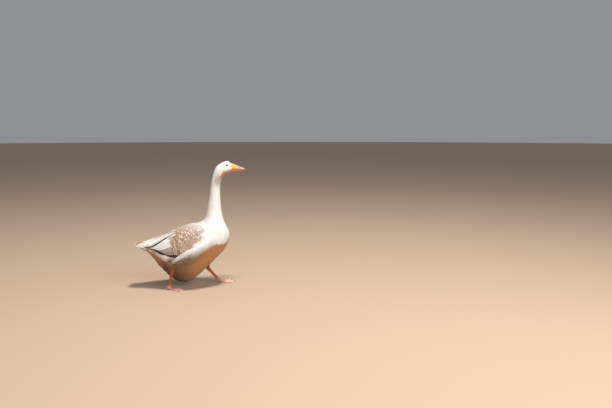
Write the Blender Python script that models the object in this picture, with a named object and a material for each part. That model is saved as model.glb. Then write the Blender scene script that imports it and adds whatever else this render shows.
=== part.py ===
"""Domestic goose in mid-stride, life size, as closed solids that meet with thin gaps.

The bird faces -Y, its left side is +X and the floor is z = 0.  One surface runs from the tail tip to the
foot of the bill: its sections are egg-shaped rings, each hung between a point on the back and a point on
the belly.  Tail, trunk, neck and head are lengths of that surface.  The folded wings lie on it, the thighs
are cut by it, and the legs stand on two webbed feet that are flat underneath.
"""

import math
from collections import namedtuple

import bmesh
import bpy
import numpy as np
from mathutils import Matrix, Vector

# Driving sizes, in metres
HEIGHT = 0.690  # floor to crown
PERCENT = HEIGHT / 100  # the tables below are in hundredths of the height
GAP = 0.0003  # between neighbouring solids
WING_GAP = 0.0012  # between a wing and the trunk, wide enough for the flats of both
THIGH_GAP = 0.0006  # between a thigh and the trunk

# Fineness of the solids
RING = 32  # points round the trunk and tail
NECK_RING = 24
HEAD_RING = 28
STEPS = 3  # rings in one interval of the body table
HEAD_STEPS = 4
SHORTEST_INTERVAL = 0.03  # metres of surface in the shortest interval that ends at a cut

# One ring of the body: where it meets the back and the belly as (forward, up), its half width, how far
# its widest line is lifted above the middle (egg) and how much its underside narrows to a keel.
Station = namedtuple("Station", "name back belly half_width egg keel")
BODY = (
    Station("tail_tip", (-43.6, 36.5), (-43.7, 34.5), 5.6, 0.0, 0.0),
    Station("tail_middle", (-37.9, 37.3), (-39.2, 32.4), 6.6, 0.0, 0.0),
    Station("tail_root", (-30.8, 39.0), (-33.4, 29.2), 8.0, 0.0, 0.1),
    Station("rump", (-22.9, 41.8), (-28.4, 23.2), 10.3, 0.05, 0.2),
    Station("loin", (-15.0, 44.9), (-23.0, 16.2), 12.7, 0.20, 0.7),
    Station("hips", (-7.1, 47.9), (-14.8, 8.0), 14.4, 0.28, 0.8),
    Station("paunch", (-0.8, 50.2), (-7.6, 4.1), 15.3, 0.24, 0.4),
    Station("keel", (4.3, 51.1), (0.2, 5.1), 15.4, 0.20, 0.3),
    Station("shoulder", (8.3, 52.0), (9.2, 12.3), 15.2, 0.12, 0.3),
    Station("wishbone", (11.4, 54.4), (19.7, 22.2), 14.4, 0.0, 0.1),
    Station("breast", (12.7, 57.4), (28.0, 31.6), 12.8, -0.08, 0.0),
    Station("crop", (13.4, 60.6), (30.9, 42.0), 10.1, -0.12, 0.0),
    Station("neck_base", (14.4, 65.9), (27.2, 51.6), 7.0, -0.08, 0.0),
    Station("neck_low", (15.5, 71.4), (24.9, 61.2), 5.1, 0.0, 0.0),
    Station("neck_middle", (16.7, 79.0), (24.1, 76.0), 3.9, 0.0, 0.0),
    Station("neck_top", (18.2, 87.0), (25.3, 83.9), 3.6, 0.0, 0.0),
    Station("nape", (21.0, 95.0), (27.6, 88.8), 3.8, -0.05, 0.0),
    Station("cheek", (25.8, 98.9), (31.1, 90.1), 3.95, -0.12, 0.0),
    Station("brow", (30.2, 100.0), (33.4, 91.2), 3.2, -0.10, 0.0),
    Station("bill_base", (32.9, 99.3), (34.1, 91.9), 2.35, 0.0, 0.0),
)
PLACE = {station.name: index for index, station in enumerate(BODY)}

# The flank feathers swell over the wing's lower edge, from the breast back and down to the thigh: the
# angle of the swelling's crest from the back line, in degrees, and how far it lifts, of the half width.
RollRow = namedtuple("RollRow", "place angle height")
ROLL = (
    RollRow("breast", 90, 0.0),
    RollRow("wishbone", 87, 0.07),
    RollRow("shoulder", 82, 0.11),
    RollRow("keel", 83, 0.12),
    RollRow("paunch", 90, 0.12),
    RollRow("hips", 107, 0.10),
    RollRow("loin", 122, 0.0),
)
ROLL_WIDTH = 13.0  # from its crest to where it has lost two thirds of its height, in degrees

# A folded wing on the body's surface: place along the body, the angles of its upper and lower edge from
# the back line, in degrees, and its thickness.
WingRow = namedtuple("WingRow", "place upper lower thickness")
WING = (
    WingRow("wishbone", 52, 62, 0.5),
    WingRow("shoulder", 26, 70, 1.5),
    WingRow("keel", 17, 70, 2.0),
    WingRow("paunch", 14, 77, 2.1),
    WingRow("hips", 13, 89, 1.9),
    WingRow("loin", 14, 95, 1.6),
    WingRow("rump", 20, 98, 1.3),
    WingRow("tail_root", 44, 103, 0.9),
)
WING_FRONT = 0.25  # share of the first interval that the wing leaves free
WING_TIP = 0.50  # how far the tip passes the last row
WING_EDGE = 0.3  # thickness of its two edges, as a share of the thickness along its middle
WING_STEPS = 17
WING_ACROSS = 8

# The bill: culmen is the upper line, gape the meeting line, chin the lower line.
BillRow = namedtuple("BillRow", "culmen gape chin half_width")
BILL = (
    BillRow((36.2, 97.3), (37.6, 93.2), (37.9, 91.9), 1.95),
    BillRow((39.8, 95.7), (41.1, 93.45), (41.1, 92.3), 1.75),
    BillRow((42.6, 94.7), (43.3, 93.35), (42.8, 92.5), 1.35),
    BillRow((43.7, 93.75), (43.8, 93.2), (43.5, 92.9), 0.60),
)
BILL_ROOT_UP = (98.9, 92.95, 91.95)  # heights of culmen, gape and chin on the face
BILL_ROOT_WIDTH = 2.2
BILL_STEPS = 3
BILL_RING = 20
LOWER_SHARE = 0.86  # the lower half is narrower than the upper
BILL_ARCH = 0.8  # below 1, the bill's two halves are fuller than half round

EYE_CENTRE = (2.1, 29.5, 96.8)  # side, forward, up
EYE_RADIUS = 0.0085

# Each leg: the hip, hock and ankle as (side, forward, up), and how far its toes turn outwards.
Leg = namedtuple("Leg", "side hip hock ankle toe_out")
LEGS = (
    Leg("right", (-10.0, -6.0, 29.5), (-9.6, -14.1, 15.6), (-8.6, -16.9, 2.1), 22.0),
    Leg("left", (9.4, 6.6, 29.5), (9.6, 12.9, 12.3), (9.0, 22.1, 2.1), 5.0),
)
SHANK_RADII = (1.35, 1.08, 1.05, 1.18, 1.5)  # from ankle to hock, fore and aft
SHANK_FLATNESS = 0.8  # side to side, as a share of the radii above
SHANK_TOP = 1.0  # how far the shank runs past the hock, up into the thigh
SHANK_TOP_FORE, SHANK_TOP_SIDE = 1.1, 0.95  # its half widths there
SHANK_RING = 12
SHANK_ROWS = 9
THIGH_CUFF = 1.9  # the thigh's radius just above the hock
THIGH_FORE, THIGH_SIDE = 5.8, 4.9  # and where it is thickest, fore and aft and to each side
THIGH_BULGE = 0.72  # below 1, the thickest part lies nearer the hock
THIGH_FULLNESS = 0.8  # below 1, the thigh widens faster above its cuff
THIGH_RING = 18
THIGH_ROWS = 11
CUTTER_ROWS = 19  # rings of the trunk's copy that cuts the thighs

# Toes, from the inner one out: turn outwards in degrees, length and radius.
Toe = namedtuple("Toe", "turn length radius")
TOES = (Toe(-24, 9.7, 0.58), Toe(0, 12.8, 0.64), Toe(24, 11.9, 0.58))
WEB_THICKNESS = 0.28
WEB_DIP = 0.13  # how far the web's free edge falls back between two toes
WEB_COLUMNS = 2  # between two toes
FOOT_ROWS = 8
TOE_OFFSETS = (-1, -0.6, 0, 0.6, 1)  # columns of points across a toe, in half widths
TOE_START = 0.08  # share of a toe's length where it leaves the ankle
TOE_SPREAD = 0.19  # near the ankle a toe's half width is this share of the distance run
TOE_HEIGHT = 1.9  # a toe's height over the floor, in radii
TOE_FALL = (1.1, 0.3)  # share of its ridge's height at the ankle, and what it loses to the tip
JOINT_TAPER = 0.92  # the round joint's top radius, as a share of its base
CLAW_LENGTH = 1.5
CLAW_RADIUS = 0.44
CLAW_SAG = 0.2
HIND_TOE_LENGTH = 2.9
HIND_TOE_RADIUS = 0.5
HIND_TOE_UP = 1.2  # height of its root
HIND_TOE_SAG = 0.15
HUB_RADIUS = 1.4
SPIKE_ROWS = 5
SPIKE_RING = 8
SPIKE_TAPER = 0.86  # of a spike's radius is lost at its tip
SPIKE_POWER = 1.3  # above 1, most of it near the tip

# Colours, as linear red, green and blue, with roughness
PLUMAGE = ("plumage", (0.78, 0.74, 0.69), 0.8)
WING_BROWN = ("wing_feathers", (0.42, 0.33, 0.26), 0.75)
BILL_ORANGE = ("bill_horn", (0.85, 0.38, 0.10), 0.4)
LEG_ORANGE = ("leg_skin", (0.66, 0.24, 0.10), 0.5)
EYE_BROWN = ("eye", (0.03, 0.02, 0.015), 0.1)
CLAW_HORN = ("claw_horn", (0.35, 0.27, 0.20), 0.45)


def clear_scene():
    for obj in list(bpy.data.objects):
        bpy.data.objects.remove(obj)


def collection(name):
    made = bpy.data.collections.new(name)
    bpy.context.scene.collection.children.link(made)
    return made


def material(name, colour, roughness):
    """The Principled material of that name, made the first time it is asked for."""
    made = bpy.data.materials.get(name)
    if made is None:
        made = bpy.data.materials.new(name)
        made.use_nodes = True
        shader = made.node_tree.nodes["Principled BSDF"]
        shader.inputs["Base Color"].default_value = (*colour, 1.0)
        shader.inputs["Roughness"].default_value = roughness
        shader.inputs["Metallic"].default_value = 0.0
    return made


def spline(rows, at):
    """Rows of numbers read at fractional places, by a Catmull-Rom curve through every row."""
    rows = np.asarray(rows, float)
    at = np.asarray(at, float)
    padded = np.concatenate([[2 * rows[0] - rows[1]], rows, [2 * rows[-1] - rows[-2]]])
    start = np.clip(np.floor(at).astype(int), 0, len(rows) - 2)
    u = (at - start)[..., None]
    before, here, after, beyond = (padded[start + k] for k in range(4))
    slope = (after - before) / 2
    next_slope = (beyond - here) / 2
    rise = after - here
    return here + u * (slope + u * (3 * rise - 2 * slope - next_slope + u * (slope + next_slope - 2 * rise)))


BODY_ROWS = np.array([[*s.back, *s.belly, s.half_width, s.egg, s.keel] for s in BODY])
ROLL_ROWS = np.array([[r.angle, r.height] for r in ROLL])


def flank_roll(place, angle):
    """The swelling of the flank feathers on each side, as a share of the half width."""
    front, rear = PLACE[ROLL[0].place], PLACE[ROLL[-1].place]
    crest, height = np.moveaxis(spline(ROLL_ROWS, np.clip(front - place, 0, front - rear)), -1, 0)
    return np.maximum(height, 0) * np.exp(-(((np.degrees(np.abs(angle)) - crest) / ROLL_WIDTH) ** 2))


def body_points(place, angle, grow=0.0):
    """Points of the body's surface, in metres.

    place runs along BODY, and angle goes from the back line (0) over the left side to the belly line (pi)
    and back over the right side.  grow widens the rings by that many metres.
    """
    place, angle = np.broadcast_arrays(np.asarray(place, float), np.asarray(angle, float))
    row = spline(BODY_ROWS, place)
    back, belly = row[..., 0:2] * PERCENT, row[..., 2:4] * PERCENT
    half_width, egg, keel = row[..., 4] * PERCENT + grow, row[..., 5], row[..., 6]
    turn = (angle + math.pi) % (2 * math.pi) - math.pi
    up, across = np.cos(turn), np.sin(turn)
    power = 1 + keel * (1 - up) / 2
    side = half_width * np.sign(across) * np.abs(across) ** power * (1 + egg * up)
    side = side * (1 + flank_roll(place, turn))
    reach = (back - belly) / 2
    length = np.linalg.norm(reach, axis=-1)
    stretch = (up * (length + grow) / length)[..., None]
    middle = (back + belly) / 2 + reach * stretch
    return np.stack([side, -middle[..., 0], middle[..., 1]], axis=-1)


def body_normals(place, angle):
    """Outward unit normals of the body's surface, from its two slopes."""
    nudge = 1e-3
    along = body_points(place + nudge, angle) - body_points(place - nudge, angle)
    around = body_points(place, angle + nudge) - body_points(place, angle - nudge)
    normal = np.cross(along, around)
    return normal / np.linalg.norm(normal, axis=-1, keepdims=True)


def shape_object(name, shape, look, into):
    """A named object from a bmesh, with its normals pointing out."""
    bmesh.ops.recalc_face_normals(shape, faces=shape.faces)
    mesh = bpy.data.meshes.new(name)
    shape.to_mesh(mesh)
    shape.free()
    mesh.shade_smooth()
    mesh.set_sharp_from_angle(angle=math.radians(50))
    mesh.materials.append(material(*look))
    obj = bpy.data.objects.new(name, mesh)
    into.objects.link(obj)
    return obj


def mesh_object(name, points, faces, look, into):
    """A named object from points and the faces between them."""
    mesh = bpy.data.meshes.new(name)
    mesh.from_pydata(points.tolist(), [], faces)
    shape = bmesh.new()
    shape.from_mesh(mesh)
    bpy.data.meshes.remove(mesh)
    return shape_object(name, shape, look, into)


def closed_loft(name, rings, look, into):
    """A solid skinned over rings of equal length, with a flat face on each end.

    The skin is made of triangles, so that two lofts along the same rings have the same facets.
    """
    rows, count = rings.shape[:2]
    index = np.arange(rows * count).reshape(rows, count)
    after = np.roll(index, -1, axis=1)
    one = np.stack([index[:-1], after[:-1], after[1:]], axis=-1).reshape(-1, 3)
    other = np.stack([index[:-1], after[1:], index[1:]], axis=-1).reshape(-1, 3)
    faces = [*one.tolist(), *other.tolist(), index[0].tolist(), index[-1].tolist()]
    return mesh_object(name, rings.reshape(-1, 3), faces, look, into)


def subtract(obj, cutter):
    """Cuts obj with a closed mesh, by a modifier."""
    cut = obj.modifiers.new("cut", "BOOLEAN")
    cut.operation = "DIFFERENCE"
    cut.object = cutter
    cut.solver = "EXACT"


def unite(obj, other):
    """Joins a closed mesh to obj as one body, by a modifier."""
    join = obj.modifiers.new("join", "BOOLEAN")
    join.operation = "UNION"
    join.object = other
    join.solver = "EXACT"


def body_length(name, start, end, count, steps, look, into):
    """The body's surface between two of its stations, less half a gap at each cut."""
    first, last = PLACE[start], PLACE[end]
    places = np.linspace(first, last, (last - first) * steps + 1)
    trim = GAP / SHORTEST_INTERVAL
    places[0] += trim * (first > 0)
    places[-1] -= trim * (last < len(BODY) - 1)
    angles = np.arange(count) * 2 * math.pi / count
    rings = body_points(places[:, None], angles[None, :])
    return closed_loft(name, rings, look, into)


def wing(side, sign, into):
    """A folded wing: a lens on the body's surface, thickest along its middle, ending in a blunt point."""
    rows = np.array([[PLACE[r.place], r.upper, r.lower, r.thickness] for r in WING])
    last = len(WING) - 1
    at = np.linspace(WING_FRONT, last + WING_TIP, WING_STEPS)
    place, upper, lower, thickness = spline(rows, at).T
    share = np.linspace(0, 1, WING_ACROSS + 1)[None, :]
    angle = sign * np.radians(upper[:, None] + (lower - upper)[:, None] * share)
    place = np.broadcast_to(place[:, None], angle.shape)
    crown = WING_EDGE + (1 - WING_EDGE) * np.sqrt(np.sin(math.pi * share))
    surface, normal = body_points(place, angle), body_normals(place, angle)
    lift = WING_GAP + thickness[:, None] * PERCENT * crown
    outer, inner = surface + normal * lift[..., None], surface + normal * WING_GAP
    rings = np.concatenate([outer, inner[:, ::-1]], axis=1)
    return closed_loft(f"wing_{side}", rings, WING_BROWN, into)


def bill_rows():
    """The bill's rows from its root on the face to the tip, as culmen, gape, chin and half width."""
    face = BODY[PLACE["bill_base"]]
    (top_forward, top_up), (low_forward, low_up) = face.back, face.belly
    slope = (low_forward - top_forward) / (low_up - top_up)
    clear = GAP / PERCENT
    root = [(top_forward + (up - top_up) * slope + clear, up) for up in BILL_ROOT_UP]
    rows = [[*root[0], *root[1], *root[2], BILL_ROOT_WIDTH]]
    rows += [[*r.culmen, *r.gape, *r.chin, r.half_width] for r in BILL]
    return np.array(rows)


def bill_half(name, upper, into):
    """One half of the bill: a D-shaped loft, flat where the halves meet and arched on the other side."""
    rows = spline(bill_rows(), np.linspace(0, len(BILL), len(BILL) * BILL_STEPS + 1))
    gape, far = rows[:, 2:4] * PERCENT, rows[:, 0:2] if upper else rows[:, 4:6]
    reach = far * PERCENT - gape
    angles = np.arange(BILL_RING) * 2 * math.pi / BILL_RING
    arch = np.maximum(np.cos(angles), 0) ** BILL_ARCH
    half_width = rows[:, 6] * PERCENT * (1 if upper else LOWER_SHARE)
    side = half_width[:, None] * np.sin(angles)
    middle = gape[:, None, :] + reach[:, None, :] * arch[None, :, None]
    lift = GAP / 2 if upper else -GAP / 2
    rings = np.stack([side, -middle[..., 0], middle[..., 1] + lift], axis=-1)
    return closed_loft(name, rings, BILL_ORANGE, into)


def eye_ball(name, centre, radius, into):
    """A sphere with its poles towards the two sides."""
    placed = Matrix.Translation(centre) @ Matrix.Rotation(math.pi / 2, 4, "Y")
    shape = bmesh.new()
    bmesh.ops.create_uvsphere(shape, u_segments=14, v_segments=9, radius=radius, matrix=placed)
    return shape_object(name, shape, EYE_BROWN, into)


def eye(side, sign, parts, cutters, head):
    """An eyeball, and its socket cut in the head."""
    centre = Vector((sign * EYE_CENTRE[0], -EYE_CENTRE[1], EYE_CENTRE[2])) * PERCENT
    eye_ball(f"eye_{side}", centre, EYE_RADIUS, parts)
    subtract(head, eye_ball(f"socket_{side}", centre, EYE_RADIUS + GAP, cutters))


def level_rings(centres, fore, sideways, count):
    """Level ellipses, one for each centre (side, forward, up), with their two half widths."""
    angles = np.arange(count) * 2 * math.pi / count
    side = centres[:, 0:1] + sideways[:, None] * np.sin(angles)
    forward = centres[:, 1:2] + fore[:, None] * np.cos(angles)
    up = np.broadcast_to(centres[:, 2:3], side.shape)
    return np.stack([side, -forward, up], axis=-1) * PERCENT


def shank(leg, into):
    """The bare lower leg, from just above the foot to just above the hock, in level sections."""
    hock, ankle = np.array(leg.hock), np.array(leg.ankle)
    radii = np.array(SHANK_RADII)
    share = np.linspace(0, 1, SHANK_ROWS)
    lean = math.hypot(hock[1] - ankle[1], hock[2] - ankle[2]) / (hock[2] - ankle[2])
    fore = spline(radii[:, None], share * (len(radii) - 1))[:, 0]
    centres = ankle + (hock - ankle) * share[:, None]
    centres[0, 2] += 2 * GAP / PERCENT
    top = hock + [0, 0, SHANK_TOP]
    centres = np.concatenate([centres, [top]])
    sideways = np.append(fore * SHANK_FLATNESS, SHANK_TOP_SIDE)
    fore = np.append(fore * lean, SHANK_TOP_FORE)
    rings = level_rings(centres, fore, sideways, SHANK_RING)
    return closed_loft(f"shank_{leg.side}", rings, LEG_ORANGE, into)


def thigh(leg, trunk_cutter, into):
    """The feathered thigh: level rings from a cuff above the hock up to the hip, cut by the trunk."""
    cuff = np.array(leg.hock) + [0, 0, SHANK_TOP + GAP / PERCENT]
    share = np.linspace(0, 1, THIGH_ROWS) ** 1.2  # closer rings near the cuff
    centres = cuff + (np.array(leg.hip) - cuff) * share[:, None]
    swell = np.maximum(np.sin(math.pi * share**THIGH_BULGE), 0) ** THIGH_FULLNESS
    fore = THIGH_CUFF + (THIGH_FORE - THIGH_CUFF) * swell
    sideways = THIGH_CUFF + (THIGH_SIDE - THIGH_CUFF) * swell
    made = closed_loft(f"thigh_{leg.side}", level_rings(centres, fore, sideways, THIGH_RING), PLUMAGE, into)
    subtract(made, trunk_cutter)


def toe_frame(leg, toe):
    """A toe's direction and its outward perpendicular on the floor, as (side, forward)."""
    outwards = -1 if leg.side == "right" else 1
    turn = math.radians(leg.toe_out + toe.turn)
    along = np.array([outwards * math.sin(turn), math.cos(turn)])
    across = np.array([outwards * math.cos(turn), -math.sin(turn)])
    return along, across


def foot_columns(leg):
    """The foot's plan and height: columns along three ridged toes with webs between, from heel to tips."""
    share = np.linspace(TOE_START, 1, FOOT_ROWS + 1)
    columns, heights = [], []
    for toe in TOES:
        along, across = toe_frame(leg, toe)
        run = share * toe.length
        half = np.minimum(toe.radius, TOE_SPREAD * run)
        for offset in TOE_OFFSETS:
            plan = run[:, None] * along + (offset * half)[:, None] * across
            ridge = math.sqrt(1 - offset**2) * (TOE_HEIGHT * toe.radius - WEB_THICKNESS)
            columns.append(plan)
            heights.append(WEB_THICKNESS + ridge * (TOE_FALL[0] - TOE_FALL[1] * share))
    plans, tops = [], []
    for number, (plan, height) in enumerate(zip(columns, heights)):
        plans.append(plan)
        tops.append(height)
        if (number + 1) % len(TOE_OFFSETS) == 0 and number + 1 < len(columns):
            for part in np.arange(1, WEB_COLUMNS + 1) / (WEB_COLUMNS + 1):
                web = plan + (columns[number + 1] - plan) * part
                dip = 1 - WEB_DIP * 4 * part * (1 - part) * share**3
                plans.append(web * dip[:, None])
                tops.append(np.full_like(share, WEB_THICKNESS))
    return np.array(plans), np.array(tops)


def foot(leg, parts, cutters):
    """A webbed foot with a flat sole, and the round joint that the shank stands on."""
    plans, tops = foot_columns(leg)
    columns, rows = tops.shape
    floor_points = np.concatenate([plans, np.zeros((columns, rows, 1))], axis=2)
    top_points = np.concatenate([plans, tops[..., None]], axis=2)
    grid = np.concatenate([floor_points.reshape(-1, 3), top_points.reshape(-1, 3)])
    ankle = np.array(leg.ankle)
    points = (grid + [ankle[0], ankle[1], 0]) * [1, -1, 1] * PERCENT
    low = np.arange(columns * rows).reshape(columns, rows)
    high = low + columns * rows
    rim = np.concatenate([low[0, :], low[1:, -1], low[-1, -2::-1], low[-2:0:-1, 0]])
    wall = np.stack([rim, np.roll(rim, -1), np.roll(rim, -1) + columns * rows, rim + columns * rows], axis=-1)
    top = np.stack([high[:-1, :-1], high[1:, :-1], high[1:, 1:], high[:-1, 1:]], axis=-1)
    faces = [*top.reshape(-1, 4).tolist(), *wall.tolist(), rim.tolist()]
    made = mesh_object(f"foot_{leg.side}", points, faces, LEG_ORANGE, parts)

    shape = bmesh.new()
    bmesh.ops.create_cone(
        shape,
        cap_ends=True,
        segments=SHANK_RING,
        radius1=HUB_RADIUS * PERCENT,
        radius2=HUB_RADIUS * PERCENT * JOINT_TAPER,
        depth=ankle[2] * PERCENT,
        matrix=Matrix.Translation(Vector((ankle[0], -ankle[1], ankle[2] / 2)) * PERCENT),
    )
    unite(made, shape_object(f"joint_{leg.side}", shape, LEG_ORANGE, cutters))


def spike(name, root, tip, radius, sag, look, into):
    """A tapered spike from root to tip, (side, forward, up), that arches by sag and stays above the floor."""
    share = np.linspace(0, 1, SPIKE_ROWS)[:, None]
    centres = root + (tip - root) * share - np.array([0, 0, sag]) * (share**2 - share)
    ahead = (tip - root) * [1, 1, 0]
    ahead = ahead / np.linalg.norm(ahead)
    across = np.array([ahead[1], -ahead[0], 0])
    angles = np.arange(SPIKE_RING) * 2 * math.pi / SPIKE_RING
    size = radius * (1 - SPIKE_TAPER * share**SPIKE_POWER)[..., None]
    ring = np.cos(angles)[:, None] * across + np.sin(angles)[:, None] * np.array([0, 0, 1])
    points = (centres[:, None, :] + size * ring) * [1, -1, 1] * PERCENT
    points[..., 2] = np.maximum(points[..., 2], 0)
    return closed_loft(name, points, look, into)


def claws_and_hind_toe(leg, into):
    """A claw on each toe, and the small hind toe behind the joint."""
    ankle = np.array(leg.ankle) * [1, 1, 0]
    for number, toe in enumerate(TOES, 1):
        along, _ = toe_frame(leg, toe)
        ahead = np.append(along, 0)
        root = ankle + ahead * (toe.length + GAP / PERCENT) + [0, 0, CLAW_RADIUS + 0.12]
        tip = root + ahead * CLAW_LENGTH - [0, 0, CLAW_RADIUS - 0.1]
        spike(f"claw_{leg.side}_{number}", root, tip, CLAW_RADIUS, -CLAW_SAG, CLAW_HORN, into)
    along, _ = toe_frame(leg, TOES[1])
    behind = -np.append(along, 0)
    root = ankle + behind * (HUB_RADIUS + 2 * GAP / PERCENT) + [0, 0, HIND_TOE_UP]
    tip = ankle + behind * (HUB_RADIUS + HIND_TOE_LENGTH)
    spike(f"hind_toe_{leg.side}", root, tip, HIND_TOE_RADIUS, -HIND_TOE_SAG, LEG_ORANGE, into)


def main():
    clear_scene()
    parts, cutters = collection("goose"), collection("cutters")

    body_length("tail", "tail_tip", "tail_root", RING, STEPS, PLUMAGE, parts)
    body_length("trunk", "tail_root", "neck_base", RING, STEPS, PLUMAGE, parts)
    body_length("neck_lower", "neck_base", "neck_middle", NECK_RING, STEPS, PLUMAGE, parts)
    body_length("neck_upper", "neck_middle", "nape", NECK_RING, STEPS, PLUMAGE, parts)
    head = body_length("head", "nape", "bill_base", HEAD_RING, HEAD_STEPS, PLUMAGE, parts)
    bill_half("bill_upper", True, parts)
    bill_half("bill_lower", False, parts)

    for side, sign in (("right", -1), ("left", 1)):
        eye(side, sign, parts, cutters, head)
        wing(side, sign, parts)

    places = np.linspace(PLACE["rump"], PLACE["wishbone"], CUTTER_ROWS)
    angles = np.arange(RING) * 2 * math.pi / RING
    grown = body_points(places[:, None], angles[None, :], grow=THIGH_GAP)
    trunk_cutter = closed_loft("trunk_cutter", grown, PLUMAGE, cutters)
    for leg in LEGS:
        thigh(leg, trunk_cutter, parts)
        shank(leg, parts)
        foot(leg, parts, cutters)
        claws_and_hind_toe(leg, parts)

    for helper in cutters.objects:
        helper.hide_render = True
        helper.display_type = "WIRE"


main()
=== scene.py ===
"""Looks of the domestic goose: one skin, its feathers, bill, eyes and claws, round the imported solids.

The bird faces -Y, its left side is +X and the floor is z = 0.  Every feathered surface is a "form": a
function of two parameters, (along, across), that gives points.  Feathers are thin closed vanes laid on a
form: each one's middle line runs back from its root, and its width stands across that line.
"""

import math
from collections import namedtuple

import bmesh
import bpy
import numpy as np
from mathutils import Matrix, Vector


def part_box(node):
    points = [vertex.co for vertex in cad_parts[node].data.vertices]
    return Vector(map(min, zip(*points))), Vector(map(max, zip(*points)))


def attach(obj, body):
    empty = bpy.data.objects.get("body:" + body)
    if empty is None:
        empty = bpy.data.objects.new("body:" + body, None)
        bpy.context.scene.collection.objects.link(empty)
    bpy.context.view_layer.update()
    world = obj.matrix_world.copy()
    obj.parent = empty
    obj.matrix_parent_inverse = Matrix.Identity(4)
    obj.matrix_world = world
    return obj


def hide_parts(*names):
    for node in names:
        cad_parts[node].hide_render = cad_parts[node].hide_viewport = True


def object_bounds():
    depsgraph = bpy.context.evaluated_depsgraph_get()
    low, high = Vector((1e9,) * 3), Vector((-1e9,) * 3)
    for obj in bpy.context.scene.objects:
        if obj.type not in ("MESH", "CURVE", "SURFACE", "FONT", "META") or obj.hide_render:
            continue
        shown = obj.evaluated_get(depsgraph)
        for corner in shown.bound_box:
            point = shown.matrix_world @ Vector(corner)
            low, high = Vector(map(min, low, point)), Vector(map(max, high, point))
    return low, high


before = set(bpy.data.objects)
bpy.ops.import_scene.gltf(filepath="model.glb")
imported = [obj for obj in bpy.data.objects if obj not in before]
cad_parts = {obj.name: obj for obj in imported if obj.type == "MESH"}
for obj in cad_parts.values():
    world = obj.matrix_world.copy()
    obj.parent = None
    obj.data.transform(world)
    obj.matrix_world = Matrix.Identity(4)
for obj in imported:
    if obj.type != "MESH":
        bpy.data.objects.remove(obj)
CAD_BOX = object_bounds()

# ---------------------------------------------------------------- driving sizes

HEIGHT = CAD_BOX[1].z  # floor to crown, in metres
PERCENT = HEIGHT / 100  # the tables below are in hundredths of the height
MM = 0.001
SIDES = {"right": -1, "left": 1}  # each side's direction along X

# One ring of the body: where it meets the back and the belly as (forward, up), its half width, how far
# its widest line is lifted above the middle (egg) and how much its underside narrows to a keel.
Station = namedtuple("Station", "name back belly half_width egg keel")
BODY = (
    Station("tail_tip", (-43.6, 36.5), (-43.7, 34.5), 5.6, 0.0, 0.0),
    Station("tail_middle", (-37.9, 37.3), (-39.2, 32.4), 6.6, 0.0, 0.0),
    Station("tail_root", (-30.8, 39.0), (-33.4, 29.2), 8.0, 0.0, 0.1),
    Station("rump", (-22.9, 41.8), (-28.4, 23.2), 10.3, 0.05, 0.2),
    Station("loin", (-15.0, 44.9), (-23.0, 16.2), 12.7, 0.20, 0.7),
    Station("hips", (-7.1, 47.9), (-14.8, 8.0), 14.4, 0.28, 0.8),
    Station("paunch", (-0.8, 50.2), (-7.6, 4.1), 15.3, 0.24, 0.4),
    Station("keel", (4.3, 51.1), (0.2, 5.1), 15.4, 0.20, 0.3),
    Station("shoulder", (8.3, 52.0), (9.2, 12.3), 15.2, 0.12, 0.3),
    Station("wishbone", (11.4, 54.4), (19.7, 22.2), 14.4, 0.0, 0.1),
    Station("breast", (12.7, 57.4), (28.0, 31.6), 12.8, -0.08, 0.0),
    Station("crop", (13.4, 60.6), (30.9, 42.0), 10.1, -0.12, 0.0),
    Station("neck_base", (14.4, 65.9), (27.2, 51.6), 7.0, -0.08, 0.0),
    Station("neck_low", (15.5, 71.4), (24.9, 61.2), 5.1, 0.0, 0.0),
    Station("neck_middle", (16.7, 79.0), (24.1, 76.0), 3.9, 0.0, 0.0),
    Station("neck_top", (18.2, 87.0), (25.3, 83.9), 3.6, 0.0, 0.0),
    Station("nape", (21.0, 95.0), (27.6, 88.8), 3.8, -0.05, 0.0),
    Station("cheek", (25.8, 98.9), (31.1, 90.1), 3.95, -0.12, 0.0),
    Station("brow", (30.2, 100.0), (33.4, 91.2), 3.2, -0.10, 0.0),
    Station("bill_base", (32.9, 99.3), (34.1, 91.9), 2.35, 0.0, 0.0),
)
PLACE = {station.name: index for index, station in enumerate(BODY)}
BODY_ROWS = np.array([[*s.back, *s.belly, s.half_width, s.egg, s.keel] for s in BODY])

# The body's own swelling below the wing, a row for each station from the loin to the breast: its crest's
# angle from the back line in degrees, and how far it lifts as a share of the half width.
ROLL_START = PLACE["loin"]
ROLL_ROWS = np.array([[122, 0.0], [107, 0.10], [90, 0.12], [83, 0.12], [82, 0.11], [87, 0.07], [90, 0.0]])
ROLL_WIDTH = 13.0  # degrees

# The feathered flank roll: its crest's angle from the back line at the places 4, 5 ... 10 along the body,
# its height in millimetres, and the degrees over which it falls away above and below the crest.
FLANK_START = 4.0
FLANK_ROWS = np.array([[136.0], [104.0], [89.0], [84.5], [85.0], [90.0], [96.0]])
FLANK_HEIGHT = 13
FLANK_ABOVE, FLANK_BELOW = 8, 19

# A folded wing: its stations on the body, angles of its upper and lower edge from the back line, thickness.
WING_STATIONS = ("wishbone", "shoulder", "keel", "paunch", "hips", "loin", "rump", "tail_root")
WING_PLACES = [PLACE[name] for name in WING_STATIONS]
WING_UPPER = (52, 26, 17, 14, 13, 14, 20, 44)
WING_LOWER = (62, 70, 70, 77, 89, 95, 98, 103)
WING_THICKNESS = (0.5, 1.5, 2.0, 2.1, 1.9, 1.6, 1.3, 0.9)
WING_ROWS = np.stack([WING_PLACES, WING_UPPER, WING_LOWER, WING_THICKNESS], axis=-1).astype(float)
WING_GAP = 0.0012  # between body and wing, in metres

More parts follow.
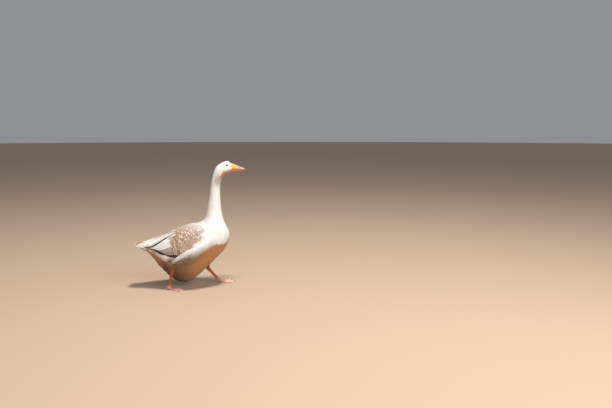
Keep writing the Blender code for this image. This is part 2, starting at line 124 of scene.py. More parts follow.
# The bill from root to tip: its upper line, gape and lower line, each as (forward, up), and its half width.
BILL_ROWS = np.array(
    [
        [32.0, 98.9, 32.8, 92.95, 33.4, 91.95, 2.25],
        [36.2, 97.3, 37.6, 93.2, 37.9, 91.9, 1.95],
        [39.8, 95.7, 41.1, 93.45, 41.1, 92.3, 1.75],
        [42.6, 94.7, 43.3, 93.35, 42.8, 92.5, 1.35],
        [43.7, 93.75, 43.8, 93.2, 43.5, 92.9, 0.60],
    ]
)

# Each leg: the hip, hock and ankle as (side, forward, up), and how far its toes turn outwards.
Leg = namedtuple("Leg", "side sign hip hock ankle toe_out")
LEGS = (
    Leg("right", -1, (-10.0, -6.0, 29.5), (-9.6, -14.1, 15.6), (-8.6, -16.9, 2.1), 22.0),
    Leg("left", 1, (9.4, 6.6, 29.5), (9.6, 12.9, 12.3), (9.0, 22.1, 2.1), 5.0),
)
SHANK_RADII = (1.35, 1.08, 1.05, 1.18, 1.5)  # from ankle to hock, fore and aft
SHANK_FLATNESS = 0.8
THIGH_CUFF = 1.5  # radius just above the hock
THIGH_FORE, THIGH_SIDE = 5.8, 4.9  # radii at the hip, fore and aft and sideways
Toe = namedtuple("Toe", "turn length radius")
TOE_APART = 24  # degrees between neighbouring toes
TOES = (Toe(-TOE_APART, 9.7, 0.58), Toe(0, 12.8, 0.64), Toe(TOE_APART, 11.9, 0.58))
CLAW_LENGTH, CLAW_RADIUS = 1.5, 0.44
HIND_TOE_LENGTH, HIND_TOE_RADIUS = 2.9, 0.5
HUB_RADIUS = 1.4  # where the toes meet under the ankle

# Feather colours, as linear red, green and blue
WHITE = np.array((0.83, 0.81, 0.785))
CREAM = np.array((0.74, 0.64, 0.50))
SAND = np.array((0.60, 0.43, 0.28))
BUFF = np.array((0.46, 0.225, 0.085))
MAUVE = np.array((0.30, 0.235, 0.215))
SLATE = np.array((0.33, 0.31, 0.325))
TAUPE = np.array((0.20, 0.135, 0.095))
UMBER = np.array((0.060, 0.036, 0.025))
STONE = np.array((0.50, 0.425, 0.365))
TAN = np.array((0.50, 0.31, 0.165))
RUSSET = np.array((0.46, 0.21, 0.062))
BROWN = np.array((0.19, 0.080, 0.028))

# Colours of down, bare skin, horn, eyes and floor, as linear red, green, blue and alpha
DOWN_LIGHT, DOWN_SHADE = (1, 1, 1, 1), (0.72, 0.68, 0.64, 1)
# The legs' dark reds are partly painted shade under the body, and the feet's pale pink is partly painted
# sunlight
LEG_RED, LEG_ORANGE = (0.33, 0.10, 0.032, 1), (0.44, 0.155, 0.055, 1)
FOOT_PINK, CREASE_RED, DUST = (0.88, 0.58, 0.43, 1), (0.34, 0.10, 0.045, 1), (0.62, 0.50, 0.38, 1)
LID_ORANGE, LID_YELLOW = (0.70, 0.40, 0.16, 1), (0.85, 0.62, 0.36, 1)
BILL_ROSE, BILL_IVORY = (0.62, 0.34, 0.27, 1), (0.78, 0.52, 0.43, 1)
BILL_ORANGE, BILL_YELLOW = (0.86, 0.40, 0.03, 1), (0.93, 0.52, 0.07, 1)
# GAPE_RED is partly painted shade along the gape and lower half; NOSTRIL_DARK is painted shade in the
# nostrils
NAIL_IVORY, GAPE_RED, NOSTRIL_DARK = (0.82, 0.70, 0.58, 1), (0.42, 0.05, 0.035, 1), (0.05, 0.015, 0.01, 1)
IRIS_DARK, IRIS_BROWN = (0.05, 0.022, 0.010, 1), (0.13, 0.062, 0.028, 1)
IRIS_RIM, PUPIL = (0.012, 0.008, 0.006, 1), (0.003, 0.003, 0.003, 1)
CLAW_ROOT, CLAW_TIP, CLAW_GROWTH = (0.22, 0.15, 0.10, 1), (0.62, 0.52, 0.42, 1), (0.30, 0.21, 0.15, 1)
FLOOR_PAINT = (0.55, 0.40, 0.28, 1)
SKY = (0.90, 0.93, 1.0, 1)

rng = np.random.default_rng(7)


# ---------------------------------------------------------------- forms


def spline(rows, at):
    """Rows of numbers read at fractional places, by a Catmull-Rom curve through every row."""
    rows = np.asarray(rows, float)
    at = np.asarray(at, float)
    padded = np.concatenate([[2 * rows[0] - rows[1]], rows, [2 * rows[-1] - rows[-2]]])
    start = np.clip(np.floor(at).astype(int), 0, len(rows) - 2)
    u = (at - start)[..., None]
    before, here, after, beyond = (padded[start + k] for k in range(4))
    slope = (after - before) / 2
    next_slope = (beyond - here) / 2
    rise = after - here
    square = 3 * rise - 2 * slope - next_slope
    cube = slope + next_slope - 2 * rise
    return here + u * (slope + u * (square + u * cube))


def smooth(low, high, value):
    """0 below low, 1 above high, and 3t^2 - 2t^3 between."""
    t = np.clip((value - low) / (high - low), 0, 1)
    return t * t * (3 - 2 * t)


def mix(a, b, share):
    """Colours a to b by a share for each row."""
    share = np.asarray(share)[..., None]
    return a * (1 - share) + b * share


def wrapped(angle):
    """An angle brought between minus and plus half a turn."""
    return (angle + math.pi) % (2 * math.pi) - math.pi


def from_back(angle):
    """Degrees between an angle round the body and the back line: 0 at the back, 180 at the belly."""
    return np.degrees(np.abs(wrapped(angle)))


def round_turns(count):
    """Angles evenly spaced round a full turn."""
    return np.arange(count) * 2 * math.pi / count


def flank_crest(along):
    """The angle from the back line at which the feathered flank roll is highest, in degrees."""
    rows = spline(FLANK_ROWS, np.clip(np.asarray(along, float) - FLANK_START, 0, len(FLANK_ROWS) - 1))
    return rows[..., 0]


def body(place, angle):
    """The body's outer surface, in metres.

    Each ring is hung between its back and belly points: middle + reach cos(angle), with a width of
    half_width |sin(angle)|^(1 + keel) (1 + egg cos(angle)), swollen at the flank by a bell round the crest.
    """
    place, angle = np.broadcast_arrays(np.asarray(place, float), np.asarray(angle, float))
    row = spline(BODY_ROWS, place)
    back, belly = row[..., 0:2] * PERCENT, row[..., 2:4] * PERCENT
    half_width, egg, keel = row[..., 4] * PERCENT, row[..., 5], row[..., 6]
    turn = wrapped(angle)
    up, across = np.cos(turn), np.sin(turn)
    power = 1 + keel * (1 - up) / 2
    roll_row = spline(ROLL_ROWS, np.clip(place - ROLL_START, 0, len(ROLL_ROWS) - 1))
    bell = np.exp(-(((np.degrees(np.abs(turn)) - roll_row[..., 0]) / ROLL_WIDTH) ** 2))
    roll = roll_row[..., 1] * bell
    side = half_width * np.sign(across) * np.abs(across) ** power * (1 + egg * up) * (1 + roll)
    middle = (back + belly) / 2 + (back - belly) / 2 * up[..., None]
    return np.stack([side, -middle[..., 0], middle[..., 1]], axis=-1)


def unit(vectors):
    """Vectors made one long."""
    return vectors / np.maximum(np.linalg.norm(vectors, axis=-1, keepdims=True), 1e-12)


def slopes(form, along, across):
    """A form's two slopes, by central differences."""
    nudge = 4e-3
    lengthwise = (form(along + nudge, across) - form(along - nudge, across)) / (2 * nudge)
    sideways = (form(along, across + nudge) - form(along, across - nudge)) / (2 * nudge)
    return lengthwise, sideways


def lifted(place, angle, lift):
    """The body's surface moved out along its normal by lift."""
    lengthwise, sideways = slopes(body, place, angle)
    normal = unit(np.cross(lengthwise, sideways))
    return body(place, angle) + normal * np.asarray(lift)[..., None]


def wing_lift(thickness, along, share):
    """Height of the folded wing over the body.

    It swells from its upper edge down.  Its lower edge tucks in under the flank in front, and stands off
    behind.
    """
    tuck = 0.95 - 0.85 * smooth(2.6, 4.2, along)
    fall = 1 - tuck * smooth(0.45, 1.0, share)
    return (WING_GAP + thickness * PERCENT * fall) * smooth(-0.2, 0.45, share)


def wing_form(sign):
    """Surface of a folded wing: across is the share from its upper to its lower edge.

    Along is minus the row of the wing table, so that it grows towards the head as on the other forms.
    """

    def form(backward, across):
        backward, across = np.broadcast_arrays(np.asarray(backward, float), np.asarray(across, float))
        along = -backward
        row = spline(WING_ROWS, along)
        angle = sign * np.radians(row[..., 1] + (row[..., 2] - row[..., 1]) * across)
        return lifted(row[..., 0], angle, wing_lift(row[..., 3], along, across))

    return form


def flank_form(sign):
    """Surface of a flank: along is the place on the body, across the degrees below the roll's crest.

    The roll swells over the wing's lower edge: steeply above its crest, exp(-|x / above|^3), and softly
    below, exp(-(x / below)^2).  It grows from the breast back and ends round above the thigh.
    """

    def form(along, across):
        along, across = np.broadcast_arrays(np.asarray(along, float), np.asarray(across, float))
        angle = sign * np.radians(flank_crest(along) + across)
        rounded_end = np.sin(np.clip((along - 4.35) / 0.85, 0, 1) * math.pi / 2)
        swell = FLANK_HEIGHT * MM * smooth(10.0, 7.6, along) * rounded_end
        above, below = np.exp(-(np.abs(across / FLANK_ABOVE) ** 3)), np.exp(-((across / FLANK_BELOW) ** 2))
        return lifted(along, angle, swell * np.where(across < 0, above, below))

    return form


def thigh_form(leg):
    """A thigh: level ellipses from the cuff above the hock (along 0) up to the hip (along 1)."""
    cuff = np.array(leg.hock) + [0, 0, 0.6]
    hip = np.array(leg.hip)

    def form(along, across):
        along, across = np.broadcast_arrays(np.asarray(along, float), np.asarray(across, float))
        share = np.clip(along, 0, 1)
        swell = np.sin(np.minimum(share * 1.5, 1) * math.pi / 2)
        fore = THIGH_CUFF + (THIGH_FORE - THIGH_CUFF) * swell
        wide = THIGH_CUFF + (THIGH_SIDE - THIGH_CUFF) * swell
        centre = cuff + (hip - cuff) * along[..., None]
        side = centre[..., 0] + wide * np.sin(across)
        forward = centre[..., 1] + fore * np.cos(across)
        return np.stack([side, -forward, centre[..., 2]], axis=-1) * PERCENT

    return form


# ---------------------------------------------------------------- meshes


def mesh_object(name, points, triangles):
    """A smooth mesh object from an array of points and one of triangles."""
    mesh = bpy.data.meshes.new(name)
    mesh.vertices.add(len(points))
    mesh.vertices.foreach_set("co", np.asarray(points, np.float32).ravel())
    mesh.loops.add(triangles.size)
    mesh.loops.foreach_set("vertex_index", triangles.astype(np.int32).ravel())
    mesh.polygons.add(len(triangles))
    mesh.polygons.foreach_set("loop_start", np.arange(0, triangles.size, 3, dtype=np.int32))
    mesh.update(calc_edges=True)
    mesh.shade_smooth()
    made = bpy.data.objects.new(name, mesh)
    bpy.context.scene.collection.objects.link(made)
    return made


def recalculated(obj):
    """The object's faces turned to point outwards."""
    shape = bmesh.new()
    shape.from_mesh(obj.data)
    bmesh.ops.recalc_face_normals(shape, faces=shape.faces)
    shape.to_mesh(obj.data)
    shape.free()


def applied(obj):
    """The object with its modifiers applied."""
    depsgraph = bpy.context.evaluated_depsgraph_get()
    shaped = obj.evaluated_get(depsgraph)
    mesh = bpy.data.meshes.new_from_object(shaped, preserve_all_data_layers=True, depsgraph=depsgraph)
    obj.modifiers.clear()
    obj.data = mesh
    return obj


def finished(made, look, node):
    """A fixed piece that stands for one solid, with its look."""
    made.data.materials.append(look)
    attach(made, "root")
    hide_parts(node)


def set_colours(mesh, name, colours):
    """A colour for each vertex, kept under that name."""
    layer = mesh.attributes.new(name, "FLOAT_COLOR", "POINT")
    rgba = np.concatenate([colours, np.ones((len(colours), 1))], axis=1)
    layer.data.foreach_set("color", rgba.astype(np.float32).ravel())


def set_values(mesh, name, values):
    """A number for each vertex, kept under that name."""
    mesh.attributes.new(name, "FLOAT", "POINT").data.foreach_set("value", values.astype(np.float32).ravel())


def set_map(mesh, name, places):
    """A UV map from a place for each vertex."""
    index = np.zeros(len(mesh.loops), np.int32)
    mesh.loops.foreach_get("vertex_index", index)
    layer = mesh.uv_layers.new(name=name, do_init=False)
    layer.uv.foreach_set("vector", places[index].astype(np.float32).ravel())


def grid_faces(rows, columns, closed_round=True):
    """Four-cornered faces of a grid of points, row by row, that point along (row step) x (column step)."""
    index = np.arange(rows * columns).reshape(rows, columns)
    after = np.roll(index, -1, axis=1)
    if not closed_round:
        index, after = index[:, :-1], after[:, :-1]
    return np.stack([index[:-1], index[1:], after[1:], after[:-1]], axis=-1).reshape(-1, 4)


def halved(quads):
    """Four-cornered faces cut into triangles."""
    return np.concatenate([quads[:, [0, 1, 2]], quads[:, [0, 2, 3]]])


def tube(rings):
    """Points and triangles of a closed skin over rings (row, round, 3), with a point to shut each end."""
    rows, count = rings.shape[:2]
    ends = rings[[0, -1]].mean(axis=1)
    points = np.concatenate([rings.reshape(-1, 3), ends])
    first = np.arange(count)
    last = first + (rows - 1) * count
    start = np.stack([np.full(count, rows * count), first, np.roll(first, -1)], axis=-1)
    end = np.stack([np.full(count, rows * count + 1), np.roll(last, -1), last], axis=-1)
    return points, np.concatenate([halved(grid_faces(rows, count)), start, end])


def ended(grid):
    """A tube's grid of values as a list, with the two means that its end points take."""
    return np.append(grid.ravel(), [grid[0].mean(), grid[-1].mean()])


def joined(shells):
    """Points and triangles of several shells as one."""
    points, faces, count = [], [], 0
    for shell_points, shell_faces in shells:
        points.append(shell_points)
        faces.append(shell_faces + count)
        count += len(shell_points)
    return np.concatenate(points), np.concatenate(faces)


# ---------------------------------------------------------------- feathers

# A vane's outline: shares of its length, half widths there as shares of the widest, and points across.
Vane = namedtuple("Vane", "along width columns")
TINY = Vane((0, 0.4, 0.8, 1), (0.5, 1, 0.8, 0.25), 3)
CONTOUR = Vane((0, 0.3, 0.62, 0.86, 1), (0.35, 0.85, 1, 0.76, 0.22), 3)
BROAD = Vane((0, 0.25, 0.5, 0.7, 0.84, 0.94, 1), (0.3, 0.8, 1, 0.98, 0.84, 0.56, 0.16), 5)
QUILL = Vane(
    (0, 0.15, 0.35, 0.55, 0.72, 0.85, 0.93, 0.98, 1),
    (0.5, 0.8, 0.95, 1, 0.97, 0.82, 0.6, 0.34, 0.1),
    5,
)
FOLD = math.radians(70)  # edges bent more than this stay sharp, so a vane's rim does


def vane_faces(vane):
    """Triangles of one closed vane: a top grid, a flat strip below from rim to rim, and its two ends."""
    rows, columns = len(vane.along), vane.columns
    index = np.arange(rows * columns).reshape(rows, columns)
    top = np.stack([index[:-1, :-1], index[:-1, 1:], index[1:, 1:], index[1:, :-1]], axis=-1).reshape(-1, 4)
    below = np.stack([index[:-1, -1], index[:-1, 0], index[1:, 0], index[1:, -1]], axis=-1).reshape(-1, 4)
    triangles = [halved(np.concatenate([top, below]))]
    for column in range(1, columns - 1):
        triangles.append([[index[0, 0], index[0, column + 1], index[0, column]]])
        triangles.append([[index[-1, 0], index[-1, column], index[-1, column + 1]]])
    return np.concatenate(triangles)


def lay(form, hand, vane, along, across, length, half_width, turn, low, high, bend, camber, tilt=0.0):
    """Feathers on a form, as arrays (feather, row, column, 3).

    A middle line starts at (along, across) and runs back, turned by `turn` radians towards greater across,
    for `length` metres: its direction is solved into steps along and across by the form's slopes.  Heights
    and the vane's section are as in stand().
    """
    sizes = (length, half_width, turn, low, high, tilt)
    columns = [np.broadcast_to(np.asarray(size, float), len(along))[:, None] for size in sizes]
    length, half_width, turn, low, high, tilt = columns
    lengthwise, sideways = slopes(form, along, across)
    normal = unit(np.cross(lengthwise, sideways))
    back = -unit(lengthwise)
    aside = unit(np.cross(back, normal))
    aside = aside * np.sign((aside * sideways).sum(-1, keepdims=True))
    lie = np.cos(turn) * back + np.sin(turn) * aside
    a, b, c = (lengthwise**2).sum(-1), (lengthwise * sideways).sum(-1), (sideways**2).sum(-1)
    p, q = (lengthwise * lie).sum(-1), (sideways * lie).sum(-1)
    det = a * c - b * b
    step_along, step_across = (c * p - b * q) / det, (a * q - b * p) / det
    v = np.array(vane.along)
    line_along = along[:, None] + step_along[:, None] * length * v
    line_across = across[:, None] + step_across[:, None] * length * v
    return stand(form, hand, vane, line_along, line_across, half_width, low, high, bend, camber, tilt)


def stand(form, hand, vane, line_along, line_across, half_width, low, high, bend, camber, tilt):
    """Vanes across given middle lines (feather, row) on a form whose normal points out where hand is 1.

    A line's height over the form is high - (high - low) (1 - v)^bend at the share v of its length.  The
    vane stands half_width to each side of it, its rims lower by camber, and leans by tilt.
    """
    v, width = np.array(vane.along), np.array(vane.width)
    points = form(line_along, line_across)
    lengthwise, sideways = slopes(form, line_along, line_across)
    normal = unit(np.cross(lengthwise, sideways)) * hand
    points = points + normal * (high - (high - low) * (1 - v) ** bend)[..., None]
    run = unit(np.gradient(points, axis=1))
    aside = unit(np.cross(run, normal))
    u = np.linspace(-1, 1, vane.columns)
    reach = (half_width * width)[..., None] * u
    drop = (half_width * width)[..., None] * (tilt[..., None] * u - camber * u**2)
    return points[:, :, None] + aside[:, :, None] * reach[..., None] + normal[:, :, None] * drop[..., None]


# Feathers laid together: their outline and points, their roots on the unwrap, and their three colours
Bed = namedtuple("Bed", "vane points roots tint band rim")
SMALL_PATCH, QUILL_PATCH = 0.003, 0.03  # how wide one feather is on the unwrap


def feather_piece(name, beds, look, patch=SMALL_PATCH):
    """One piece of the coat from beds of feathers, with the maps and colours that its material reads.

    The map "vane" gives each feather's share across and along.  The map "OFBake" sets it, patch wide, at
    its root's place on the form's own unwrap.
    """
    points, faces, vane_map, bake_map, colours, count = [], [], [], [], ([], [], []), 0
    for bed in beds:
        feathers, rows, columns = bed.points.shape[:3]
        per_feather = rows * columns
        template = vane_faces(bed.vane)
        start = count + np.arange(feathers)[:, None, None] * per_feather
        faces.append((template[None] + start).reshape(-1, 3))
        points.append(bed.points.reshape(-1, 3))
        u, v = np.meshgrid(np.linspace(0, 1, columns), np.array(bed.vane.along))
        local = np.stack([u, v], axis=-1).reshape(-1, 2)
        vane_map.append(np.tile(local, (feathers, 1)))
        bake_map.append((bed.roots[:, None] + (local - 0.5) * patch).reshape(-1, 2))
        for kept, colour in zip(colours, (bed.tint, bed.band, bed.rim)):
            kept.append(np.repeat(np.broadcast_to(colour, (feathers, 3)), per_feather, axis=0))
        count += feathers * per_feather
    made = mesh_object(name, np.concatenate(points), np.concatenate(faces))
    made.data.set_sharp_from_angle(angle=FOLD)
    set_map(made.data, "vane", np.concatenate(vane_map))
    set_map(made.data, "OFBake", np.concatenate(bake_map))
    for key, colour in zip(("tint", "band", "rim"), colours):
        set_colours(made.data, key, np.concatenate(colour))
    made.data.materials.append(look)
    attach(made, "root")


def roots_on(along, across, box):
    """Places of roots on the unwrap of a form, fitted to a box (left, low, right, high) of the map."""
    span = [np.ptp(x) or 1 for x in (along, across)]
    u = box[0] + (along - along.min()) / span[0] * (box[2] - box[0])
    v = box[1] + (across - across.min()) / span[1] * (box[3] - box[1])
    return np.stack([u, v], axis=-1)


# Boxes of the map: all of it, and the half that each side of the bird takes
WHOLE = (0.01, 0.01, 0.99, 0.99)
HALF = {-1: (0.01, 0.01, 0.99, 0.49), 1: (0.01, 0.51, 0.99, 0.99)}


def scatter(form, along, across, cell):
    """Roots spread evenly over a form's range, one for each cell(along, across) square metres.

    The k-th of n is the point of a golden lattice, (k / n, k * golden ratio), carried onto the form by
    area: the first number picks the row below which that share of all cells lies, the second the share of
    the row.
    """
    rows, columns = 260, 180
    row_edges, column_edges = np.linspace(*along, rows + 1), np.linspace(*across, columns + 1)
    row_middle = (row_edges[1:] + row_edges[:-1])[:, None] / 2
    column_middle = (column_edges[1:] + column_edges[:-1])[None, :] / 2
    lengthwise, sideways = slopes(form, *np.broadcast_arrays(row_middle, column_middle))
    area = np.linalg.norm(np.cross(lengthwise, sideways), axis=-1)
    area = area * (row_edges[1] - row_edges[0]) * (column_edges[1] - column_edges[0])
    weight = area / cell(row_middle, column_middle)
    count = int(weight.sum())
    number = np.arange(count) + 0.5
    cumulative = np.concatenate([[0], np.cumsum(weight.sum(axis=1))]) / weight.sum()
    picked = np.interp(number / count, cumulative, row_edges)
    row = np.clip(np.searchsorted(row_edges, picked) - 1, 0, rows - 1)
    inside = np.cumsum(weight, axis=1) / weight.sum(axis=1, keepdims=True)
    inside = np.concatenate([np.zeros((rows, 1)), inside], axis=1) * (1 - 1e-9)
    ranks = (inside + np.arange(rows)[:, None]).ravel()
    golden = (number * (math.sqrt(5) - 1) / 2) % 1
    found = np.interp(row + golden, ranks, np.tile(column_edges, rows))
    return picked, found


# ---------------------------------------------------------------- markings

# Where the brown of the underside begins, partly painted shade: angle from the back line over places of the
# body
BELLY_PLACES = (4.4, 5, 5.6, 6.6, 7.3, 8.1, 8.8, 9.3, 9.9, 10.4, 11, 11.6)
BELLY_EDGES = (114, 98, 91, 87, 87, 90, 95, 100, 112, 138, 170, 200)
TUFT_PLACE, TUFT_SIDE = 4.25, 104  # middle of the white tuft that hangs behind the belly
TUFT_HEIGHT = 10  # millimetres
SOCKET_RADIUS = 1.3  # reach of the hollow round an eye, as a share of the eye's radius


def markings_and_shade(place, angle):
    """The plumage's three colours over the body: middle, band and rim of a feather rooted there.

    Head, neck and breast are white, the mantle is sandy and the tail sandy.  The belly is russet and browner
    to the rear and underneath, partly plumage colour and partly painted shade with warm light from the
    floor, with a white tuft behind it.  The warm tan under the tail and vent is painted shade, and so is the
    near black in the gap under the wing's rear edge.  The russet chin is painted shade with warm reflected
    light under the jaw; the stony throat is partly its own grey-brown and partly painted shade.  Each patch
    is 1 where it is full: it fades between two places along the body, or between two angles from the back
    line, in degrees.
    """
    side = from_back(angle)
    tint = np.broadcast_to(WHITE, (*side.shape, 3)).copy()
    # The belly's russet, browner to the rear and underneath, is partly plumage colour and partly painted
    # shade with warm floor light
    edge = np.interp(place, BELLY_PLACES, BELLY_EDGES)
    belly = smooth(edge - 5, edge + 9, side)
    under = smooth(112, 150, side) * smooth(7.6, 5.6, place)
    deep = 0.5 * smooth(9.3, 6.3, place) + 0.4 * smooth(7.6, 6.4, place) + 0.3 * under
    tint = mix(tint, mix(RUSSET, BROWN, deep), 0.94 * belly)
    # Painted shade: a warm tan under the tail and vent
    vent_shade = smooth(1.2, 2.2, place) * smooth(4.7, 3.9, place) * smooth(100, 118, side)
    tint = mix(tint, mix(TAN, RUSSET, 0.6), 0.9 * vent_shade)
    tuft = np.exp(-(((place - TUFT_PLACE) / 0.62) ** 4) - ((side - TUFT_SIDE) / 9) ** 4)
    tint = mix(tint, WHITE, tuft)
    mantle = smooth(9.3, 7.6, place) * smooth(70, 40, side) * smooth(2.0, 3.8, place)
    tint = mix(tint, mix(CREAM, SAND, smooth(7.4, 5.0, place)), 0.85 * mantle)
    tail = smooth(2.6, 1.4, place) * smooth(80, 55, side)
    tint = mix(tint, mix(SAND, TAN, 0.6), 0.92 * tail)
    # Painted shade: a russet chin, the shaded underside of the jaw with warm reflected light
    chin = smooth(102, 130, side) * smooth(14.9, 15.9, place)
    tint = mix(tint, mix(TAN, RUSSET, 0.9), 0.96 * chin)
    # The throat's stony patch is partly its own grey-brown and partly painted shade
    throat = np.exp(-(((place - 15.15) / 0.45) ** 2)) * smooth(40, 80, side)
    tint = mix(tint, mix(STONE, TAN, 0.5), 0.75 * throat)
    # Painted shade: the gap under the wing's rear edge is tinted near black
    gap = under_wing(place, side)
    tint = mix(tint, UMBER, gap)
    band = mix(tint, BUFF, 0.5 * mantle * smooth(7.6, 5.5, place) + 0.3 * tail)
    rim = mix(tint, WHITE, (0.20 + 0.5 * mantle + 0.1 * tail) * (1 - gap) * (1 - 0.65 * belly))
    return tint, band, rim


def under_wing(place, side):
    """1 in the narrow gap below the wing's rear lower edge, 0 elsewhere."""
    share = wing_share(place, side)
    strip = smooth(0.84, 0.90, share) * smooth(1.06, 0.99, share)
    return strip * smooth(5.8, 5.2, place) * smooth(2.0, 2.8, place)


def wing_share(place, side):
    """How far down a folded wing a point of the body lies, 0 at its upper edge and 1 at its lower.

    side is the point's angle from the back line, in degrees.
    """
    row = spline(WING_ROWS, np.clip(PLACE["wishbone"] - place, 0, 7.5))
    return (side - row[..., 1]) / (row[..., 2] - row[..., 1])


def socket(place, angle):
    """How far the skin round the eyes draws in, in metres: exp(-(d / radius)^4) at the distance d from one.

    It draws in by 1.1 mm in front of and below the eye and swells by 0.6 mm above and behind it.
    """
    points = body(place, angle)
    hollow = 0.0
    for side, radius in EYE_RADII.items():
        outward, front, down = eye_axes(side)
        away = points - (EYE_CENTRES[side] + outward * radius * 0.8)
        distance = np.linalg.norm(away, axis=-1)
        ahead = (away * (0.7 * front + 0.7 * down)).sum(-1) / radius
        amount = -0.6 + 1.7 * smooth(-0.7, 0.6, ahead)
        hollow = hollow + amount * np.exp(-((distance / (SOCKET_RADIUS * radius)) ** 4))
    return MM * hollow


def fluff(place, angle):
    """How far the coat stands off the body's surface, in metres.

    A soft tuft below the wing and shallow furrows that run down the neck, less the gap under the wing's
    edge, the tail's thinning towards its tip, the brow's fall to the bill and the hollows round the eyes.
    """
    side = from_back(angle)
    tuft = TUFT_HEIGHT * MM * np.exp(-(((place - TUFT_PLACE) / 0.65) ** 2) - ((side - TUFT_SIDE) / 11) ** 2)
    neck = smooth(11.9, 12.8, place) * smooth(16.0, 15.2, place)
    wander = 1.2 * np.sin(place * 2.1) + 0.5 * np.sin(place * 7)
    furrow = 0.20 * MM * neck * np.sin(side / 11.5 * math.pi + wander)
    thin = 6.0 * MM * smooth(1.7, 0.0, place) * np.abs(np.cos(angle))
    brow = smooth(18.2, 19.0, place) * (3.4 * MM * np.maximum(np.cos(angle), 0) ** 1.5 + 0.5 * MM)
    return tuft - 3.5 * MM * under_wing(place, side) + furrow - thin - brow - socket(place, angle)


def flecks(place, angle, draw):
    """How brown each neck feather is: scattered ones on the upper neck's throat, and a faint low collar."""
    side = from_back(angle)
    throat = smooth(14.1, 14.9, place) * smooth(16.2, 15.6, place) * smooth(45, 100, side)
    collar = np.exp(-(((place - 12.75) / 0.2) ** 2)) * smooth(35, 75, side) * smooth(150, 110, side)
    return np.where(draw < 0.34, 0.62 * throat, 0.10 * throat) + 0.16 * collar


def either_way(draw):
    """Random numbers between 0 and 1 spread between -1 and 1."""
    return 2 * draw - 1


def shaded(colour, amount, draw):
    """A colour for each feather, lighter or darker by up to amount."""
    return np.clip(colour * (1 + amount * either_way(draw[:, None])), 0, 0.9)


# ---------------------------------------------------------------- materials


class Nodes:
    """A node tree, with short calls for the nodes that these materials use."""

    def __init__(self, tree):
        self.tree = tree

    def fill(self, node, values):
        """Sets inputs of a node: numbers and colours stay, sockets are linked."""
        for key, value in values.items():
            entry = node.inputs[key]
            if isinstance(value, bpy.types.NodeSocket):
                self.tree.links.new(value, entry)
            else:
                entry.default_value = value

    def add(self, kind, values=None, **settings):
        """A node of that kind with its settings and inputs."""
        made = self.tree.nodes.new(kind)
        for key, value in settings.items():
            setattr(made, key, value)
        self.fill(made, values or {})
        return made

    def math(self, operation, first, second=0.0, third=0.0):
        """The result of one step of arithmetic."""
        return self.add("ShaderNodeMath", {0: first, 1: second, 2: third}, operation=operation).outputs[0]

    def blend(self, share, first, second, how="MIX"):
        """The first colour turned into the second by a share, or combined with it in another way."""
        made = self.add("ShaderNodeMix", {0: share, 6: first, 7: second}, data_type="RGBA", blend_type=how)
        return made.outputs[2]

    def ramp(self, value, low, high):
        """0 below low, 1 above high, smooth between."""
        values = {0: value, 1: low, 2: high, 3: 0.0, 4: 1.0}
        return self.add("ShaderNodeMapRange", values, interpolation_type="SMOOTHSTEP").outputs[0]

    def noise(self, scale, detail=3.0):
        """Cloudy values from 0 to 1 over the object, with scale lumps in a metre."""
        values = {"Vector": self.place(), "Scale": scale, "Detail": detail}
        return self.add("ShaderNodeTexNoise", values).outputs[0]

    def bump(self, height, distance, strength):
        """A normal raised by a height."""
        values = {"Height": height, "Distance": distance, "Strength": strength}
        return self.add("ShaderNodeBump", values).outputs[0]

    def colour(self, name):
        """A colour kept in the mesh under that name."""
        return self.add("ShaderNodeAttribute", attribute_name=name).outputs["Color"]

    def value(self, name):
        """A number kept in the mesh under that name."""
        return self.add("ShaderNodeAttribute", attribute_name=name).outputs["Fac"]

    def place(self):
        """The point on the object."""
        return self.add("ShaderNodeTexCoord").outputs["Object"]


def new_group(name, inputs, outputs):
    """An empty shader node group with named sockets, given as (name, kind) pairs."""
    group = bpy.data.node_groups.new(name, "ShaderNodeTree")
    for title, kind in inputs:
        group.interface.new_socket(title, in_out="INPUT", socket_type=kind)
    for title, kind in outputs:
        group.interface.new_socket(title, in_out="OUTPUT", socket_type=kind)
    nodes = Nodes(group)
    return group, nodes, nodes.add("NodeGroupInput").outputs, nodes.add("NodeGroupOutput")


